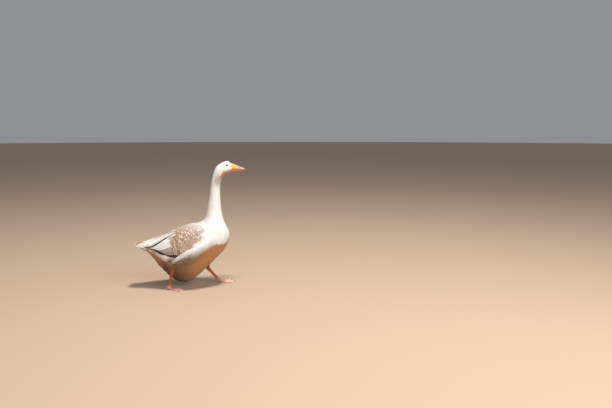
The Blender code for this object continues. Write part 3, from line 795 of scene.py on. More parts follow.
def vane_group():
    """Markings of one feather: middle, band, pale rim, shaft, fine slanting barbs, and a root in painted
    shade.

    Band and rim follow max(|across|^power, 3 along - 2), made ragged, so they run round sides and tip.
    """
    group, n, given, out = new_group(
        "vane_markings",
        [(name, "NodeSocketColor") for name in ("Middle", "Band", "Rim")]
        + [(name, "NodeSocketFloat") for name in ("Band Start", "Rim Start", "Side Power", "Barbs")],
        [("Colour", "NodeSocketColor"), ("Height", "NodeSocketFloat"), ("Roughness", "NodeSocketFloat")],
    )
    share = n.add("ShaderNodeSeparateXYZ", {0: n.add("ShaderNodeUVMap", uv_map="vane").outputs[0]}).outputs
    across = n.math("ABSOLUTE", n.math("MULTIPLY_ADD", share[0], 2.0, -1.0))
    ragged = n.math("MULTIPLY_ADD", n.noise(420.0), 0.22, -0.11)
    tip = n.math("MULTIPLY_ADD", share[1], 3.0, -2.0)
    side = n.math("POWER", across, given["Side Power"])
    edge = n.math("ADD", n.math("SMOOTH_MAX", side, tip, 0.25), ragged)
    band = n.ramp(edge, given["Band Start"], n.math("ADD", given["Band Start"], 0.22))
    rim = n.ramp(edge, given["Rim Start"], n.math("ADD", given["Rim Start"], 0.14))
    colour = n.blend(band, given["Middle"], given["Band"])
    colour = n.blend(rim, colour, given["Rim"])
    barb = n.math("SINE", n.math("MULTIPLY_ADD", across, -34.0, n.math("MULTIPLY", share[1], 150.0)))
    mottle = n.noise(60.0)
    light = n.math("MULTIPLY_ADD", barb, n.math("MULTIPLY", given["Barbs"], 0.06), 1.0)
    light = n.math("MULTIPLY_ADD", n.math("SUBTRACT", mottle, 0.5), 0.14, light)
    shaft = n.math("SUBTRACT", 1.0, n.ramp(across, 0.03, 0.10))
    light = n.math("MULTIPLY_ADD", n.math("MULTIPLY", shaft, given["Barbs"]), -0.10, light)
    # Painted shade: each feather darker towards its root, where the feathers above cover it
    root = n.ramp(share[1], 0.0, 0.4)
    light = n.math("MULTIPLY", light, n.math("MULTIPLY_ADD", root, 0.25, 0.75))
    grey = n.add("ShaderNodeCombineColor", {0: light, 1: light, 2: light}).outputs[0]
    results = {
        "Colour": n.blend(1.0, colour, grey, "MULTIPLY"),
        "Height": n.math("MULTIPLY_ADD", barb, given["Barbs"], n.math("MULTIPLY", shaft, 1.5)),
        "Roughness": n.math("MULTIPLY_ADD", mottle, 0.2, 0.55),
    }
    n.fill(out, results)
    return group


def new_material(name):
    """A material, its nodes and its shader."""
    made = bpy.data.materials.new(name)
    made.use_nodes = True
    return made, Nodes(made.node_tree), made.node_tree.nodes["Principled BSDF"]


# Where a feather's band and rim start, how closely they keep to its sides, its barbs' strength, its sheen
Plumage = namedtuple("Plumage", "name band_start rim_start side_power barbs sheen")
PLUMAGES = {
    "soft": Plumage("soft_plumage", 0.55, 0.75, 3.0, 0.35, 0.06),
    "firm": Plumage("mantle_plumage", 0.36, 0.72, 3.0, 0.8, 0.04),
    "flight": Plumage("quill_plumage", 0.50, 0.78, 4.0, 1.0, 0.05),
}


def feather_material(group, plumage):
    """Plumage that reads the three colours of each feather."""
    made, n, shader = new_material(plumage.name)
    inputs = {
        "Middle": n.colour("tint"),
        "Band": n.colour("band"),
        "Rim": n.colour("rim"),
        "Band Start": plumage.band_start,
        "Rim Start": plumage.rim_start,
        "Side Power": plumage.side_power,
        "Barbs": plumage.barbs,
    }
    marks = n.add("ShaderNodeGroup", node_tree=group)
    n.fill(marks, inputs)
    looks = {
        "Base Color": marks.outputs["Colour"],
        "Roughness": marks.outputs["Roughness"],
        "Normal": n.bump(marks.outputs["Height"], 0.0002, 0.5),
        "Sheen Weight": plumage.sheen,
        "Sheen Roughness": 0.5,
        "Specular IOR Level": 0.3,
    }
    n.fill(shader, looks)
    return made


def skin_material():
    """Downy skin under the feathers, in the plumage's colours with their painted shade."""
    made, n, shader = new_material("downy_skin")
    down = n.noise(300.0, 5.0)
    dim = n.blend(n.ramp(down, 0.3, 0.7), DOWN_SHADE, DOWN_LIGHT)
    looks = {
        "Base Color": n.blend(1.0, n.colour("tint"), dim, "MULTIPLY"),
        "Normal": n.bump(down, 0.0008, 0.6),
        "Roughness": 0.85,
        "Sheen Weight": 0.2,
    }
    n.fill(shader, looks)
    return made


def scale_group():
    """Small rounded scales: a mask of the creases between them, a height, and a colour for each scale.

    They are the cells round scattered points, warped by a cloud so that no two are alike.
    """
    group, n, given, out = new_group(
        "skin_scales",
        [("Vector", "NodeSocketVector"), ("Scale", "NodeSocketFloat")],
        [("Crease", "NodeSocketFloat"), ("Height", "NodeSocketFloat"), ("Cell", "NodeSocketColor")],
    )
    cloud = n.add("ShaderNodeTexNoise", {"Vector": given["Vector"], "Scale": 90.0, "Detail": 2.0})
    warp = {0: cloud.outputs["Color"], 1: (0.0022,) * 3, 2: given["Vector"]}
    warped = n.add("ShaderNodeVectorMath", warp, operation="MULTIPLY_ADD").outputs[0]
    values = {"Vector": warped, "Scale": given["Scale"], "Randomness": 0.7}
    edges = n.add("ShaderNodeTexVoronoi", values, feature="DISTANCE_TO_EDGE").outputs["Distance"]
    cells = n.add("ShaderNodeTexVoronoi", values, feature="F1").outputs["Color"]
    raised = n.ramp(edges, 0.0, 0.16)
    n.fill(out, {"Crease": n.math("SUBTRACT", 1.0, raised), "Height": raised, "Cell": cells})
    return group


def leg_material(scales):
    """Red to orange scaly skin of shanks and feet: pink near the floor, with red creases and some dust."""
    made, n, shader = new_material("leg_scales")
    spot = n.place()
    cells = n.add("ShaderNodeGroup", node_tree=scales)
    n.fill(cells, {"Vector": spot, "Scale": 330.0})
    up = n.add("ShaderNodeSeparateXYZ", {0: spot}).outputs[2]
    patchy = n.noise(45.0)
    # The dark red is partly painted shade under the body, and the pale pink near the floor partly painted
    # sunlight
    low = n.math("SUBTRACT", 1.0, n.ramp(up, 0.004, 0.035))
    colour = n.blend(n.ramp(patchy, 0.3, 0.7), LEG_RED, LEG_ORANGE)
    colour = n.blend(low, colour, FOOT_PINK)
    colour = n.blend(n.math("MULTIPLY", cells.outputs["Crease"], 0.55), colour, CREASE_RED)
    tone = n.blend(0.10, colour, cells.outputs["Cell"], "OVERLAY")
    settled = n.math("MULTIPLY_ADD", low, 0.35, 0.1)
    dust = n.math("MULTIPLY", n.ramp(n.noise(130.0), 0.5, 0.75), settled)
    looks = {
        "Base Color": n.blend(dust, tone, DUST),
        "Normal": n.bump(cells.outputs["Height"], 0.0005, 0.8),
        "Roughness": n.math("MULTIPLY_ADD", patchy, 0.25, 0.38),
        "Subsurface Weight": 0.08,
        "Subsurface Scale": 0.004,
    }
    n.fill(shader, looks)
    return made


def lid_material():
    """Bare yellow-orange skin of the eyelids, finely creased."""
    made, n, shader = new_material("lid_skin")
    fine = n.noise(900.0)
    looks = {
        "Base Color": n.blend(fine, LID_ORANGE, LID_YELLOW),
        "Normal": n.bump(fine, 0.0003, 0.6),
        "Roughness": 0.5,
    }
    n.fill(shader, looks)
    return made


def bill_material():
    """Horn of the bill: orange at the root, rosy ivory in front, dark red along the gape, a pale nail."""
    made, n, shader = new_material("bill_horn")
    patchy = n.noise(70.0)
    fine = n.noise(500.0, 4.0)
    orange = n.blend(fine, BILL_ORANGE, BILL_YELLOW)
    base = n.math("ADD", n.value("base"), n.math("MULTIPLY_ADD", patchy, 0.3, -0.15))
    colour = n.blend(patchy, BILL_ROSE, BILL_IVORY)
    colour = n.blend(n.ramp(base, 0.25, 0.75), colour, orange)
    colour = n.blend(n.math("MULTIPLY", n.value("nail"), 0.75), colour, NAIL_IVORY)
    # The gape's dark red is partly the bill's own colour and partly painted shade
    colour = n.blend(n.math("MULTIPLY", n.value("gape"), 0.85), colour, GAPE_RED)
    looks = {
        # Painted shade: the nostrils' openings darkened near black
        "Base Color": n.blend(n.value("hollow"), colour, NOSTRIL_DARK),
        "Normal": n.bump(fine, 0.0003, 0.35),
        "Roughness": n.math("MULTIPLY_ADD", patchy, 0.2, 0.25),
        "Subsurface Weight": 0.1,
        "Subsurface Scale": 0.004,
    }
    n.fill(shader, looks)
    return made


def eye_material():
    """A glossy eye: black pupil, dark brown iris with fine rays, darker at its rim."""
    made, n, shader = new_material("eye_glaze")
    ring = n.value("ring")
    iris = n.blend(n.noise(700.0), IRIS_DARK, IRIS_BROWN)
    iris = n.blend(n.ramp(ring, 0.62, 0.78), iris, IRIS_RIM)
    looks = {
        "Base Color": n.blend(n.ramp(ring, 0.28, 0.34), PUPIL, iris),
        "Roughness": 0.12,
        "Coat Weight": 1.0,
        "Coat Roughness": 0.02,
    }
    n.fill(shader, looks)
    return made


def claw_material():
    """Claw horn, grown in fine lines, paler towards the tip."""
    made, n, shader = new_material("claw_horn")
    grown = n.noise(260.0)
    colour = n.blend(n.value("along"), CLAW_ROOT, CLAW_TIP)
    looks = {
        "Base Color": n.blend(n.math("MULTIPLY", grown, 0.5), colour, CLAW_GROWTH),
        "Normal": n.bump(grown, 0.0004, 0.4),
        "Roughness": 0.38,
    }
    n.fill(shader, looks)
    return made


# ---------------------------------------------------------------- coat sizes

# Over the places of the body: feather length, coat depth (both in millimetres)
SIZE_PLACES = (0, 2, 4, 6, 8, 9.5, 11, 12, 13, 14.5, 15.6, 16.4, 17, 18, 19)
FEATHER_LENGTHS = (30, 34, 32, 32, 28, 25, 21, 17, 13, 10.5, 8.5, 6.5, 5.2, 4.2, 3.0)
COAT_DEPTHS = (2.5, 4, 6, 7, 6.5, 6, 5.5, 4.5, 3.4, 2.8, 2.3, 1.9, 1.6, 1.4, 1.1)
CELL_SHARE = 0.125  # of a body feather's squared length, how much surface each one has to itself


def feather_length(place):
    """Length of a feather rooted at that place, in metres."""
    return np.interp(place, SIZE_PLACES, FEATHER_LENGTHS) * MM


def coat_depth(place):
    """How deep under the coat the skin lies, in metres."""
    return np.interp(place, SIZE_PLACES, COAT_DEPTHS) * MM


# ---------------------------------------------------------------- eyes

EYE_CENTRES = {}
EYE_RADII = {}
for eye_side in SIDES:
    eye_low, eye_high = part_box(f"eye_{eye_side}")
    EYE_CENTRES[eye_side] = np.array((eye_low + eye_high) / 2)
    EYE_RADII[eye_side] = (eye_high.y - eye_low.y) / 2
EYE_LOOK = (-0.27, 0.13)  # how far each eye looks forwards and up for one outwards
IRIS_EDGE = math.radians(60)  # from the eye's axis, where the material's ring value is 1


def eye_axes(side):
    """The eye's outward axis, and unit vectors to its front and underside."""
    sign = SIDES[side]
    outward = unit(np.array([sign, *EYE_LOOK]))
    front = unit(np.array([0, -1, 0]) - outward * -outward[1])
    return outward, front, np.cross(front, outward) * -sign


def on_eye(side, polar, turn):
    """Unit vectors polar away from the eye's outward axis, turned round it from front to underside."""
    outward, front, down = eye_axes(side)
    spokes = np.cos(turn)[..., None] * front + np.sin(turn)[..., None] * down
    return np.cos(polar)[..., None] * outward + np.sin(polar)[..., None] * spokes


def eye_piece(side, look):
    """The eyeball: a sphere of rings round its axis, closed by a point at each pole."""
    rings, count, pole = 40, 64, 0.02
    polar = np.linspace(pole, math.pi - pole, rings)[:, None]
    ball = on_eye(side, polar, round_turns(count)[None, :])
    made = mesh_object(f"eye_{side}_ball", *tube(EYE_CENTRES[side] + ball * EYE_RADII[side]))
    set_values(made.data, "ring", np.append(np.repeat(polar[:, 0], count), [0, math.pi]) / IRIS_EDGE)
    finished(made, look, f"eye_{side}")


LID_WIDE, LID_HIGH = 37.0, 32.0  # the opening's half angles seen from the eye's centre, in degrees
LID_CORNER = 5  # how far the two corners are drawn out, in degrees
LID_BREADTH, LID_UPPER, LID_LOWER = 8, 7, 1  # half breadth of the rim, and what the upper and lower lid add
LID_STAND, LID_SWELL = 0.35 * MM, 0.75 * MM  # height of the rim's middle over the eyeball, half thickness


def lid_shell(side):
    """Both lids of one eye: a soft rim swept round an almond on the eyeball, broader above.

    At turn t the opening's edge is hypot(wide cos t, high sin t) + corner |cos t|^6 from the eye's axis.
    The rim's section is an ellipse that starts there.
    """
    turns, ring = 72, 14
    t, profile = round_turns(turns)[:, None], round_turns(ring)[None, :]
    corner = np.abs(np.cos(t)) ** 6 * LID_CORNER
    opening = np.radians(np.hypot(LID_WIDE * np.cos(t), LID_HIGH * np.sin(t)) + corner)
    lids = LID_UPPER * np.maximum(-np.sin(t), 0) + LID_LOWER * np.maximum(np.sin(t), 0)
    breadth = np.radians(LID_BREADTH + lids)
    polar = opening + breadth + breadth * np.cos(profile)
    height = EYE_RADII[side] + LID_STAND + LID_SWELL * np.sin(profile) * (1 - 0.25 * np.sin(t))
    points = EYE_CENTRES[side] + on_eye(side, polar, t) * height[..., None]
    quads = ring_faces(turns, ring)
    return points.reshape(-1, 3), halved(quads[:, ::-1] if side == "right" else quads)


def ring_faces(turns, ring):
    """Four-cornered faces of a grid that is closed both ways."""
    index = np.arange(turns * ring).reshape(turns, ring)
    on, after = np.roll(index, -1, axis=0), np.roll(index, -1, axis=1)
    both = np.roll(on, -1, axis=1)
    return np.stack([index, on, both, after], axis=-1).reshape(-1, 4)


# ---------------------------------------------------------------- bill


# Details of the bill, as shares of its length and turns round its section from its upper line
BLUNT_START = 0.95  # where the tip starts to round off
NOSTRIL_SHARE, NOSTRIL_TURN = 0.47, 0.85
NOSTRIL_LONG, NOSTRIL_HIGH = 0.075, 0.17
GAPE_TURN = math.pi / 2
HALF_GAP = 0.25 * MM  # half the slit between the bill's two halves
LOWER_WIDTH = 0.84  # of the upper half's


def near_gape(turn, reach):
    """A bell along the meeting line, on both sides of the bill: exp(-(distance / reach)^2)."""
    return np.exp(-((np.abs(np.abs(turn - math.pi) - GAPE_TURN) / reach) ** 2))


def bill_shell(upper):
    """One half of the bill, with the values that its material reads.

    Rings run from the root under the face's feathers to the tip, closer together there.  A ring is a D:
    flat where the halves meet, arched away from it, and it shrinks by sqrt(1 - x^2) over the blunt tip.  The
    upper half has a nostril on each side, a hooked nail, a fine comb on its edge and a curved gape.
    """
    rows, count = 150, 96
    share = 1 - np.linspace(1, 0, rows) ** 1.5
    row = spline(BILL_ROWS, share * (len(BILL_ROWS) - 1))
    gape, far = row[:, 2:4] * PERCENT, (row[:, 0:2] if upper else row[:, 4:6]) * PERCENT
    share, turn = share[:, None], round_turns(count)[None, :]
    arch = np.maximum(np.cos(turn), 0) ** (0.72 if upper else 0.9)
    belly = np.minimum(np.cos(turn), 0) * 0.06
    blunt = np.sqrt(1 - np.clip((share - BLUNT_START) / (1 - BLUNT_START), 0, 0.999) ** 2)
    half_width = row[:, 6:7] * PERCENT * (1 if upper else LOWER_WIDTH) * blunt
    side = half_width * np.sign(np.sin(turn)) * np.abs(np.sin(turn)) ** 0.85
    reach = (far - gape)[:, None, :]
    middle = gape[:, None, :] + reach * ((arch + belly) * blunt)[..., None]
    forward, up = middle[..., 0], middle[..., 1] + (HALF_GAP if upper else -HALF_GAP)
    hollow = np.zeros(side.shape)
    nail = smooth(0.83, 0.88, share) * smooth(1.15, 0.75, np.abs(np.minimum(turn, 2 * math.pi - turn)))
    if upper:
        edge = near_gape(turn, 0.16)
        comb = np.sin(share * 260) * edge * smooth(0.12, 0.25, share) * smooth(0.9, 0.8, share)
        smile = 0.9 * MM * np.sin(share * math.pi * 1.6 + 0.4) * edge * blunt
        from_nostril = np.minimum(np.abs(turn - NOSTRIL_TURN), np.abs(turn - (2 * math.pi - NOSTRIL_TURN)))
        spread = ((share - NOSTRIL_SHARE) / NOSTRIL_LONG) ** 2 + (from_nostril / NOSTRIL_HIGH) ** 2
        # hollow dents each nostril and also paints it near black, as painted shade in its opening
        hollow = np.exp(-(spread**2))
        swell = np.exp(-spread * 0.35) * (1 - hollow) * 0.05
        side = side * (1 + 0.03 * comb) * (1 - 0.26 * hollow + swell)
        hook = 0.5 - 1.0 * smooth(0.9, 1.0, share)
        up = up + smile + hook * MM * nail * blunt
        forward = forward + 0.6 * MM * nail * blunt
    rings = np.stack([side, -forward, up], axis=-1)
    if upper:
        rings, hollow, nail = rings[:, ::-1], hollow[:, ::-1], nail[:, ::-1]
    slant = (up - up.min(axis=1, keepdims=True)) / np.ptp(up, axis=1, keepdims=True)
    base = smooth(0.36, 0.30, share + 0.17 * slant**1.5) if upper else smooth(0.26, 0.12, share)
    # The red along the gape is partly the bill's own colour and partly painted shade in the slit between the
    # halves
    inner = smooth(-0.05, -0.25, np.cos(turn)) * np.ones(side.shape)
    red = np.clip(near_gape(turn, 0.22) + inner, 0, 1)
    # The lower half is reddened all over: partly its own colour, partly painted shade under the upper half
    if not upper:
        red = np.maximum(red, 0.34 + 0.26 * smooth(0.1, 0.3, share))
    values = {"base": base, "hollow": hollow, "nail": nail, "gape": red * smooth(1.0, 0.9, share)}
    return tube(rings), {key: ended(np.broadcast_to(value, side.shape)) for key, value in values.items()}


def bill_piece(name, upper, look):
    """The upper or lower half of the bill."""
    shell, values = bill_shell(upper)
    made = mesh_object(f"{name}_horn", *shell)
    recalculated(made)
    for key, value in values.items():
        set_values(made.data, key, value)
    finished(made, look, name)


# ---------------------------------------------------------------- legs


def toe_directions(leg):
    """For each toe its direction and outward perpendicular on the floor, as (side, forward)."""
    turns = np.radians([leg.toe_out + toe.turn for toe in TOES])
    along = np.stack([leg.sign * np.sin(turns), np.cos(turns)], axis=-1)
    across = np.stack([leg.sign * np.cos(turns), -np.sin(turns)], axis=-1)
    return along, across


FAN_EDGE = 1.1  # how far the outer spokes go past the outer toes, in steps from toe to toe
WEB_HEIGHT, SOLE_HEIGHT = 0.26, 0.06  # hundredths of the height, as every number of the foot
PHALANX = 3.4  # joints' swellings in a toe's length


def foot_shell(leg):
    """A webbed foot: a fan of spokes from behind the ankle out to the toes' tips and the web's edge.

    A spoke's height is the web's or a toe's ridge, thick exp(-|off / girth|^2.4) at a distance off the
    toe's middle line, which swells at its joints.  Underneath it is flat.
    """
    spokes, rings = 91, 56
    fan = np.linspace(-FAN_EDGE, FAN_EDGE, spokes)[:, None]
    out = np.linspace(0.0, 1.0, rings)[None, :] ** 0.9
    tips = np.array([toe.length + 0.45 for toe in TOES])
    between = 1 - np.abs(((fan + 1) % 1) - 0.5) * 2
    beyond = 0.93  # of the outer toes' reach, at the fan's edges
    ends = (-FAN_EDGE, -1, 0, 1, FAN_EDGE)
    reach = np.interp(fan, ends, [tips[0] * beyond, tips[0], tips[1], tips[2], tips[2] * beyond])
    inside = (np.abs(fan) <= 1).astype(float)
    web_edge = reach * (1 - 0.15 * between**0.7 * inside - 0.05 * smooth(0.0, 0.12, between))
    distance = out * web_edge
    angle = np.radians(leg.toe_out + fan * TOE_APART)
    side = leg.sign * np.sin(angle) * distance
    forward = np.cos(angle) * distance
    along, across = toe_directions(leg)
    height = np.full(side.shape, WEB_HEIGHT) + 0.05 * np.sin(distance * 5.0) * between
    for number, toe in enumerate(TOES):
        run = side * along[number][0] + forward * along[number][1]
        off = side * across[number][0] + forward * across[number][1]
        share = np.clip(run / toe.length, 0, 1)
        joints = 1 + 0.16 * np.cos(2 * math.pi * run / (toe.length / PHALANX) + 0.6)
        thick = (1.75 - 0.6 * share) * toe.radius * joints
        girth = toe.radius * (1.15 - 0.25 * share) * joints
        ridge = thick * np.exp(-np.abs(off / girth) ** 2.4)
        height = np.maximum(height, ridge * smooth(toe.length + 0.5, toe.length - 0.4, run) + 0.1)
    heel = 2.0 * np.exp(-((distance / 1.5) ** 2)) + 0.3
    rim = smooth(1.0, 0.93, out) * smooth(1.12, 1.04, np.abs(fan))
    height = SOLE_HEIGHT + (np.maximum(height, heel) - SOLE_HEIGHT) * rim
    ankle = np.array(leg.ankle)
    top = np.stack([ankle[0] + side, -(ankle[1] + forward), height], axis=-1) * PERCENT
    sole = top * [1, 1, 0]
    top_quads = grid_faces(spokes, rings, closed_round=False)
    count = spokes * rings
    index = np.arange(count).reshape(spokes, rings)
    rim_line = np.concatenate([index[0, :], index[1:, -1], index[-1, -2::-1], index[-2:0:-1, 0]])
    after = np.roll(rim_line, -1)
    wall = np.stack([rim_line, after, after + count, rim_line + count], axis=-1)
    quads = np.concatenate([top_quads, top_quads[:, ::-1] + count, wall])
    return np.concatenate([top.reshape(-1, 3), sole.reshape(-1, 3)]), halved(quads)


def shank_shell(leg):
    """The bare lower leg: level ellipses from inside the foot up into the thigh, faintly ringed."""
    hock, ankle = np.array(leg.hock), np.array(leg.ankle)
    share = np.linspace(-0.1, 1.12, 40)
    radii = spline(np.array(SHANK_RADII)[:, None], np.clip(share, 0, 1) * (len(SHANK_RADII) - 1))[:, 0]
    radii = radii * (1 + 0.04 * np.cos(share * 40)) + 0.35 * np.exp(-(((share - 0.02) / 0.10) ** 2))
    lean = math.hypot(hock[1] - ankle[1], hock[2] - ankle[2]) / (hock[2] - ankle[2])
    centre = ankle + (hock - ankle) * share[:, None]
    centre[:, 2] = np.maximum(centre[:, 2], 0.5)
    turn = round_turns(32)
    side = centre[:, 0:1] + (radii * SHANK_FLATNESS)[:, None] * np.sin(turn)
    forward = centre[:, 1:2] + (radii * lean)[:, None] * np.cos(turn)
    up = np.broadcast_to(centre[:, 2:3], side.shape)
    return tube(np.stack([side, -forward, up], axis=-1) * PERCENT)


def spike_rings(root, tip, radius, hook, finest=0.12):
    """Rings along a tapered spike from root to tip, (side, forward, up), raised by hook in the middle."""
    share = np.linspace(0, 1, 18)[:, None]
    centre = root + (tip - root) * share + np.array([0, 0, hook]) * 4 * share * (1 - share)
    ahead = (tip - root) * [1, 1, 0]
    ahead = ahead / np.linalg.norm(ahead)
    across = np.array([ahead[1], -ahead[0], 0])
    turn = round_turns(20)
    size = radius * np.maximum(1 - 0.9 * share**1.4, finest)[..., None]
    flat = np.where(np.cos(turn) < 0, 0.75, 1.0)
    ring = np.sin(turn)[:, None] * across + (np.cos(turn) * flat)[:, None] * np.array([0, 0, 1])
    points = (centre[:, None] + size * ring) * [1, -1, 1] * PERCENT
    points[..., 2] = np.maximum(points[..., 2], 0)
    return points, share


def hind_toe_ends(leg):
    """Root and tip of the small hind toe, as (side, forward, up)."""
    along, _ = toe_directions(leg)
    ankle = np.array(leg.ankle) * [1, 1, 0]
    behind = -np.append(along[1], 0)
    root = ankle + behind * (HUB_RADIUS * 0.5) + [0, 0, 1.25]
    return root, ankle + behind * (HUB_RADIUS + HIND_TOE_LENGTH)


def claw_pieces(leg, look):
    """A horn claw on each front toe, curved down to the floor."""
    along, _ = toe_directions(leg)
    ankle = np.array(leg.ankle) * [1, 1, 0]
    for number, toe in enumerate(TOES):
        ahead = np.append(along[number], 0)
        root = ankle + ahead * (toe.length - 0.55) + [0, 0, CLAW_RADIUS + 0.14]
        tip = ankle + ahead * (toe.length + CLAW_LENGTH) + [0, 0, 0.12]
        rings, share = spike_rings(root, tip, CLAW_RADIUS * 0.95, 0.16)
        made = mesh_object(f"claw_{leg.side}_{number + 1}_horn", *tube(rings))
        recalculated(made)
        set_values(made.data, "along", np.append(np.repeat(share[:, 0], rings.shape[1]), [0, 1]))
        finished(made, look, f"claw_{leg.side}_{number + 1}")


def leg_object(leg):
    """Foot, shank and hind toe grown together into one closed skin."""
    root, tip = hind_toe_ends(leg)
    hind, _ = spike_rings(root, tip, HIND_TOE_RADIUS * 1.05, 0.1, 0.3)
    made = mesh_object(f"leg_{leg.side}", *joined([foot_shell(leg), shank_shell(leg), tube(hind)]))
    recalculated(made)
    fuse = made.modifiers.new("fuse", "REMESH")
    fuse.mode = "VOXEL"
    fuse.voxel_size = 0.9 * MM
    relax = made.modifiers.new("relax", "SMOOTH")
    relax.factor = 0.5
    relax.iterations = 3
    return applied(made)


# ---------------------------------------------------------------- skin


SKIN_STEPS = ((0.6, 11.9, 120), (12, 15.9, 44), (16, 18.86, 60))  # rings of trunk, neck and head
SKIN_ROUND = 112
THIGH_DEPTH = 0.88  # size of the thigh's skin within its feathers
DOWN, SCALES, LIDS = 0, 1, 2  # the skin's looks, in their order


def body_shell():
    """The skin of head, neck, trunk, tail and folded wings, inside the feathers by the coat's depth."""
    places = np.concatenate([np.linspace(*steps) for steps in SKIN_STEPS])
    place, angle = np.meshgrid(places, round_turns(SKIN_ROUND), indexing="ij")
    row = spline(WING_ROWS, np.clip(PLACE["wishbone"] - place, 0, len(WING_ROWS) - 1))
    side = from_back(angle)
    upper, lower, thickness = row[..., 1], row[..., 2], row[..., 3]
    on_wing = smooth(upper + 2, upper + 12, side) * smooth(lower - 5, lower - 12, side)
    on_wing = on_wing * smooth(8.9, 8.2, place) * smooth(1.8, 2.6, place)
    lift = on_wing * (thickness * PERCENT * 0.5) + fluff(place, angle) - coat_depth(place)
    tint, _, _ = markings_and_shade(place, angle)
    tints = np.concatenate([tint.reshape(-1, 3), tint[0, :1], tint[-1, :1]])
    return tube(lifted(place, angle, lift)), tints


def thigh_shell(leg):
    """The skin of a thigh, inside its feathers."""
    form = thigh_form(leg)
    along, across = np.meshgrid(np.linspace(0.0, 1, 26), round_turns(40), indexing="ij")
    points = form(along, across)
    centre = points.mean(axis=1, keepdims=True)
    return tube(centre + (points - centre) * THIGH_DEPTH)


def set_look(obj, looks, number):
    """Gives every face of an object one of the skin's looks."""
    for look in looks:
        obj.data.materials.append(look)
    obj.data.polygons.foreach_set("material_index", np.full(len(obj.data.polygons), number, np.int32))


def skin_piece(looks):
    """One closed skin: the body, thighs and legs united, with lids round the eyes."""
    shell, tints = body_shell()
    skin = mesh_object("skin", *shell)
    recalculated(skin)
    set_colours(skin.data, "tint", tints)
    set_look(skin, looks, DOWN)
    helpers = []
    for leg in LEGS:
        thigh = mesh_object(f"thigh_{leg.side}_core", *thigh_shell(leg))
        recalculated(thigh)
        for helper, look in ((thigh, DOWN), (leg_object(leg), SCALES)):
            set_colours(helper.data, "tint", np.broadcast_to(WHITE, (len(helper.data.vertices), 3)))
            set_look(helper, looks, look)
            union = skin.modifiers.new("union", "BOOLEAN")
            union.operation = "UNION"
            union.solver = "EXACT"
            union.object = helper
            helpers.append(helper)
    applied(skin)
    for helper in helpers:
        bpy.data.objects.remove(helper)
    lids = []
    for side in SIDES:
        lid = mesh_object(f"lid_{side}", *lid_shell(side))
        recalculated(lid)
        set_look(lid, looks, LIDS)
        lids.append(lid)
    with bpy.context.temp_override(active_object=skin, selected_editable_objects=[skin, *lids]):
        bpy.ops.object.join()
    skin.data.shade_smooth()
    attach(skin, "root")
    nodes = ["head", "neck_upper", "neck_lower", "trunk", "tail"]
    for side in SIDES:
        nodes += [f"{part}_{side}" for part in ("wing", "thigh", "shank", "foot", "hind_toe")]
    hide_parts(*nodes)


# ---------------------------------------------------------------- coat


def eye_clearance(roots, lie, length):
    """Near an eye: which roots to keep, and the lengths, shorter for feathers that lie towards it."""
    keep = np.ones(len(roots), bool)
    for side, radius in EYE_RADII.items():
        outward, _, _ = eye_axes(side)
        away = roots - (EYE_CENTRES[side] + outward * radius * 0.75)
        distance = np.linalg.norm(away, axis=-1)
        ahead = -(unit(away) * lie).sum(-1)
        keep &= distance > radius * (0.84 + 0.26 * smooth(0, 0.7, ahead))
        near = np.exp(-(((distance - radius * 0.86) / (4 * MM)) ** 2)) * smooth(-0.1, 0.8, ahead)
        length = length * (1 - 0.55 * near)
    return keep, length


def coat_form(place, angle):
    """The body's surface with the coat's fluff."""
    return lifted(place, angle, fluff(place, angle))


def off_quills(place, side):
    """Which roots the wing's coverts and quills and the tail's quills leave room for."""
    share = wing_share(place, side)
    covered = (share > 0.12 + 0.2 * smooth(5.0, 4.0, place)) & (share < 0.82)
    keep = ~(covered & (place < BREAST_START) & (place > 2.6))
    keep &= (place > 1.45) | (side > 120)
    return keep & ((place > 2.1) | (side < 80) | (side > 116))


# Where the stretches of the body's coat start, as places along it, and where the rear one is parted into
# back and belly, as an angle from the back line in degrees
HEAD_START, NECK_START, BREAST_START, BACK_EDGE = 16.1, 11.9, 8.0, 60
COAT_ENDS = (0.75, 18.98)


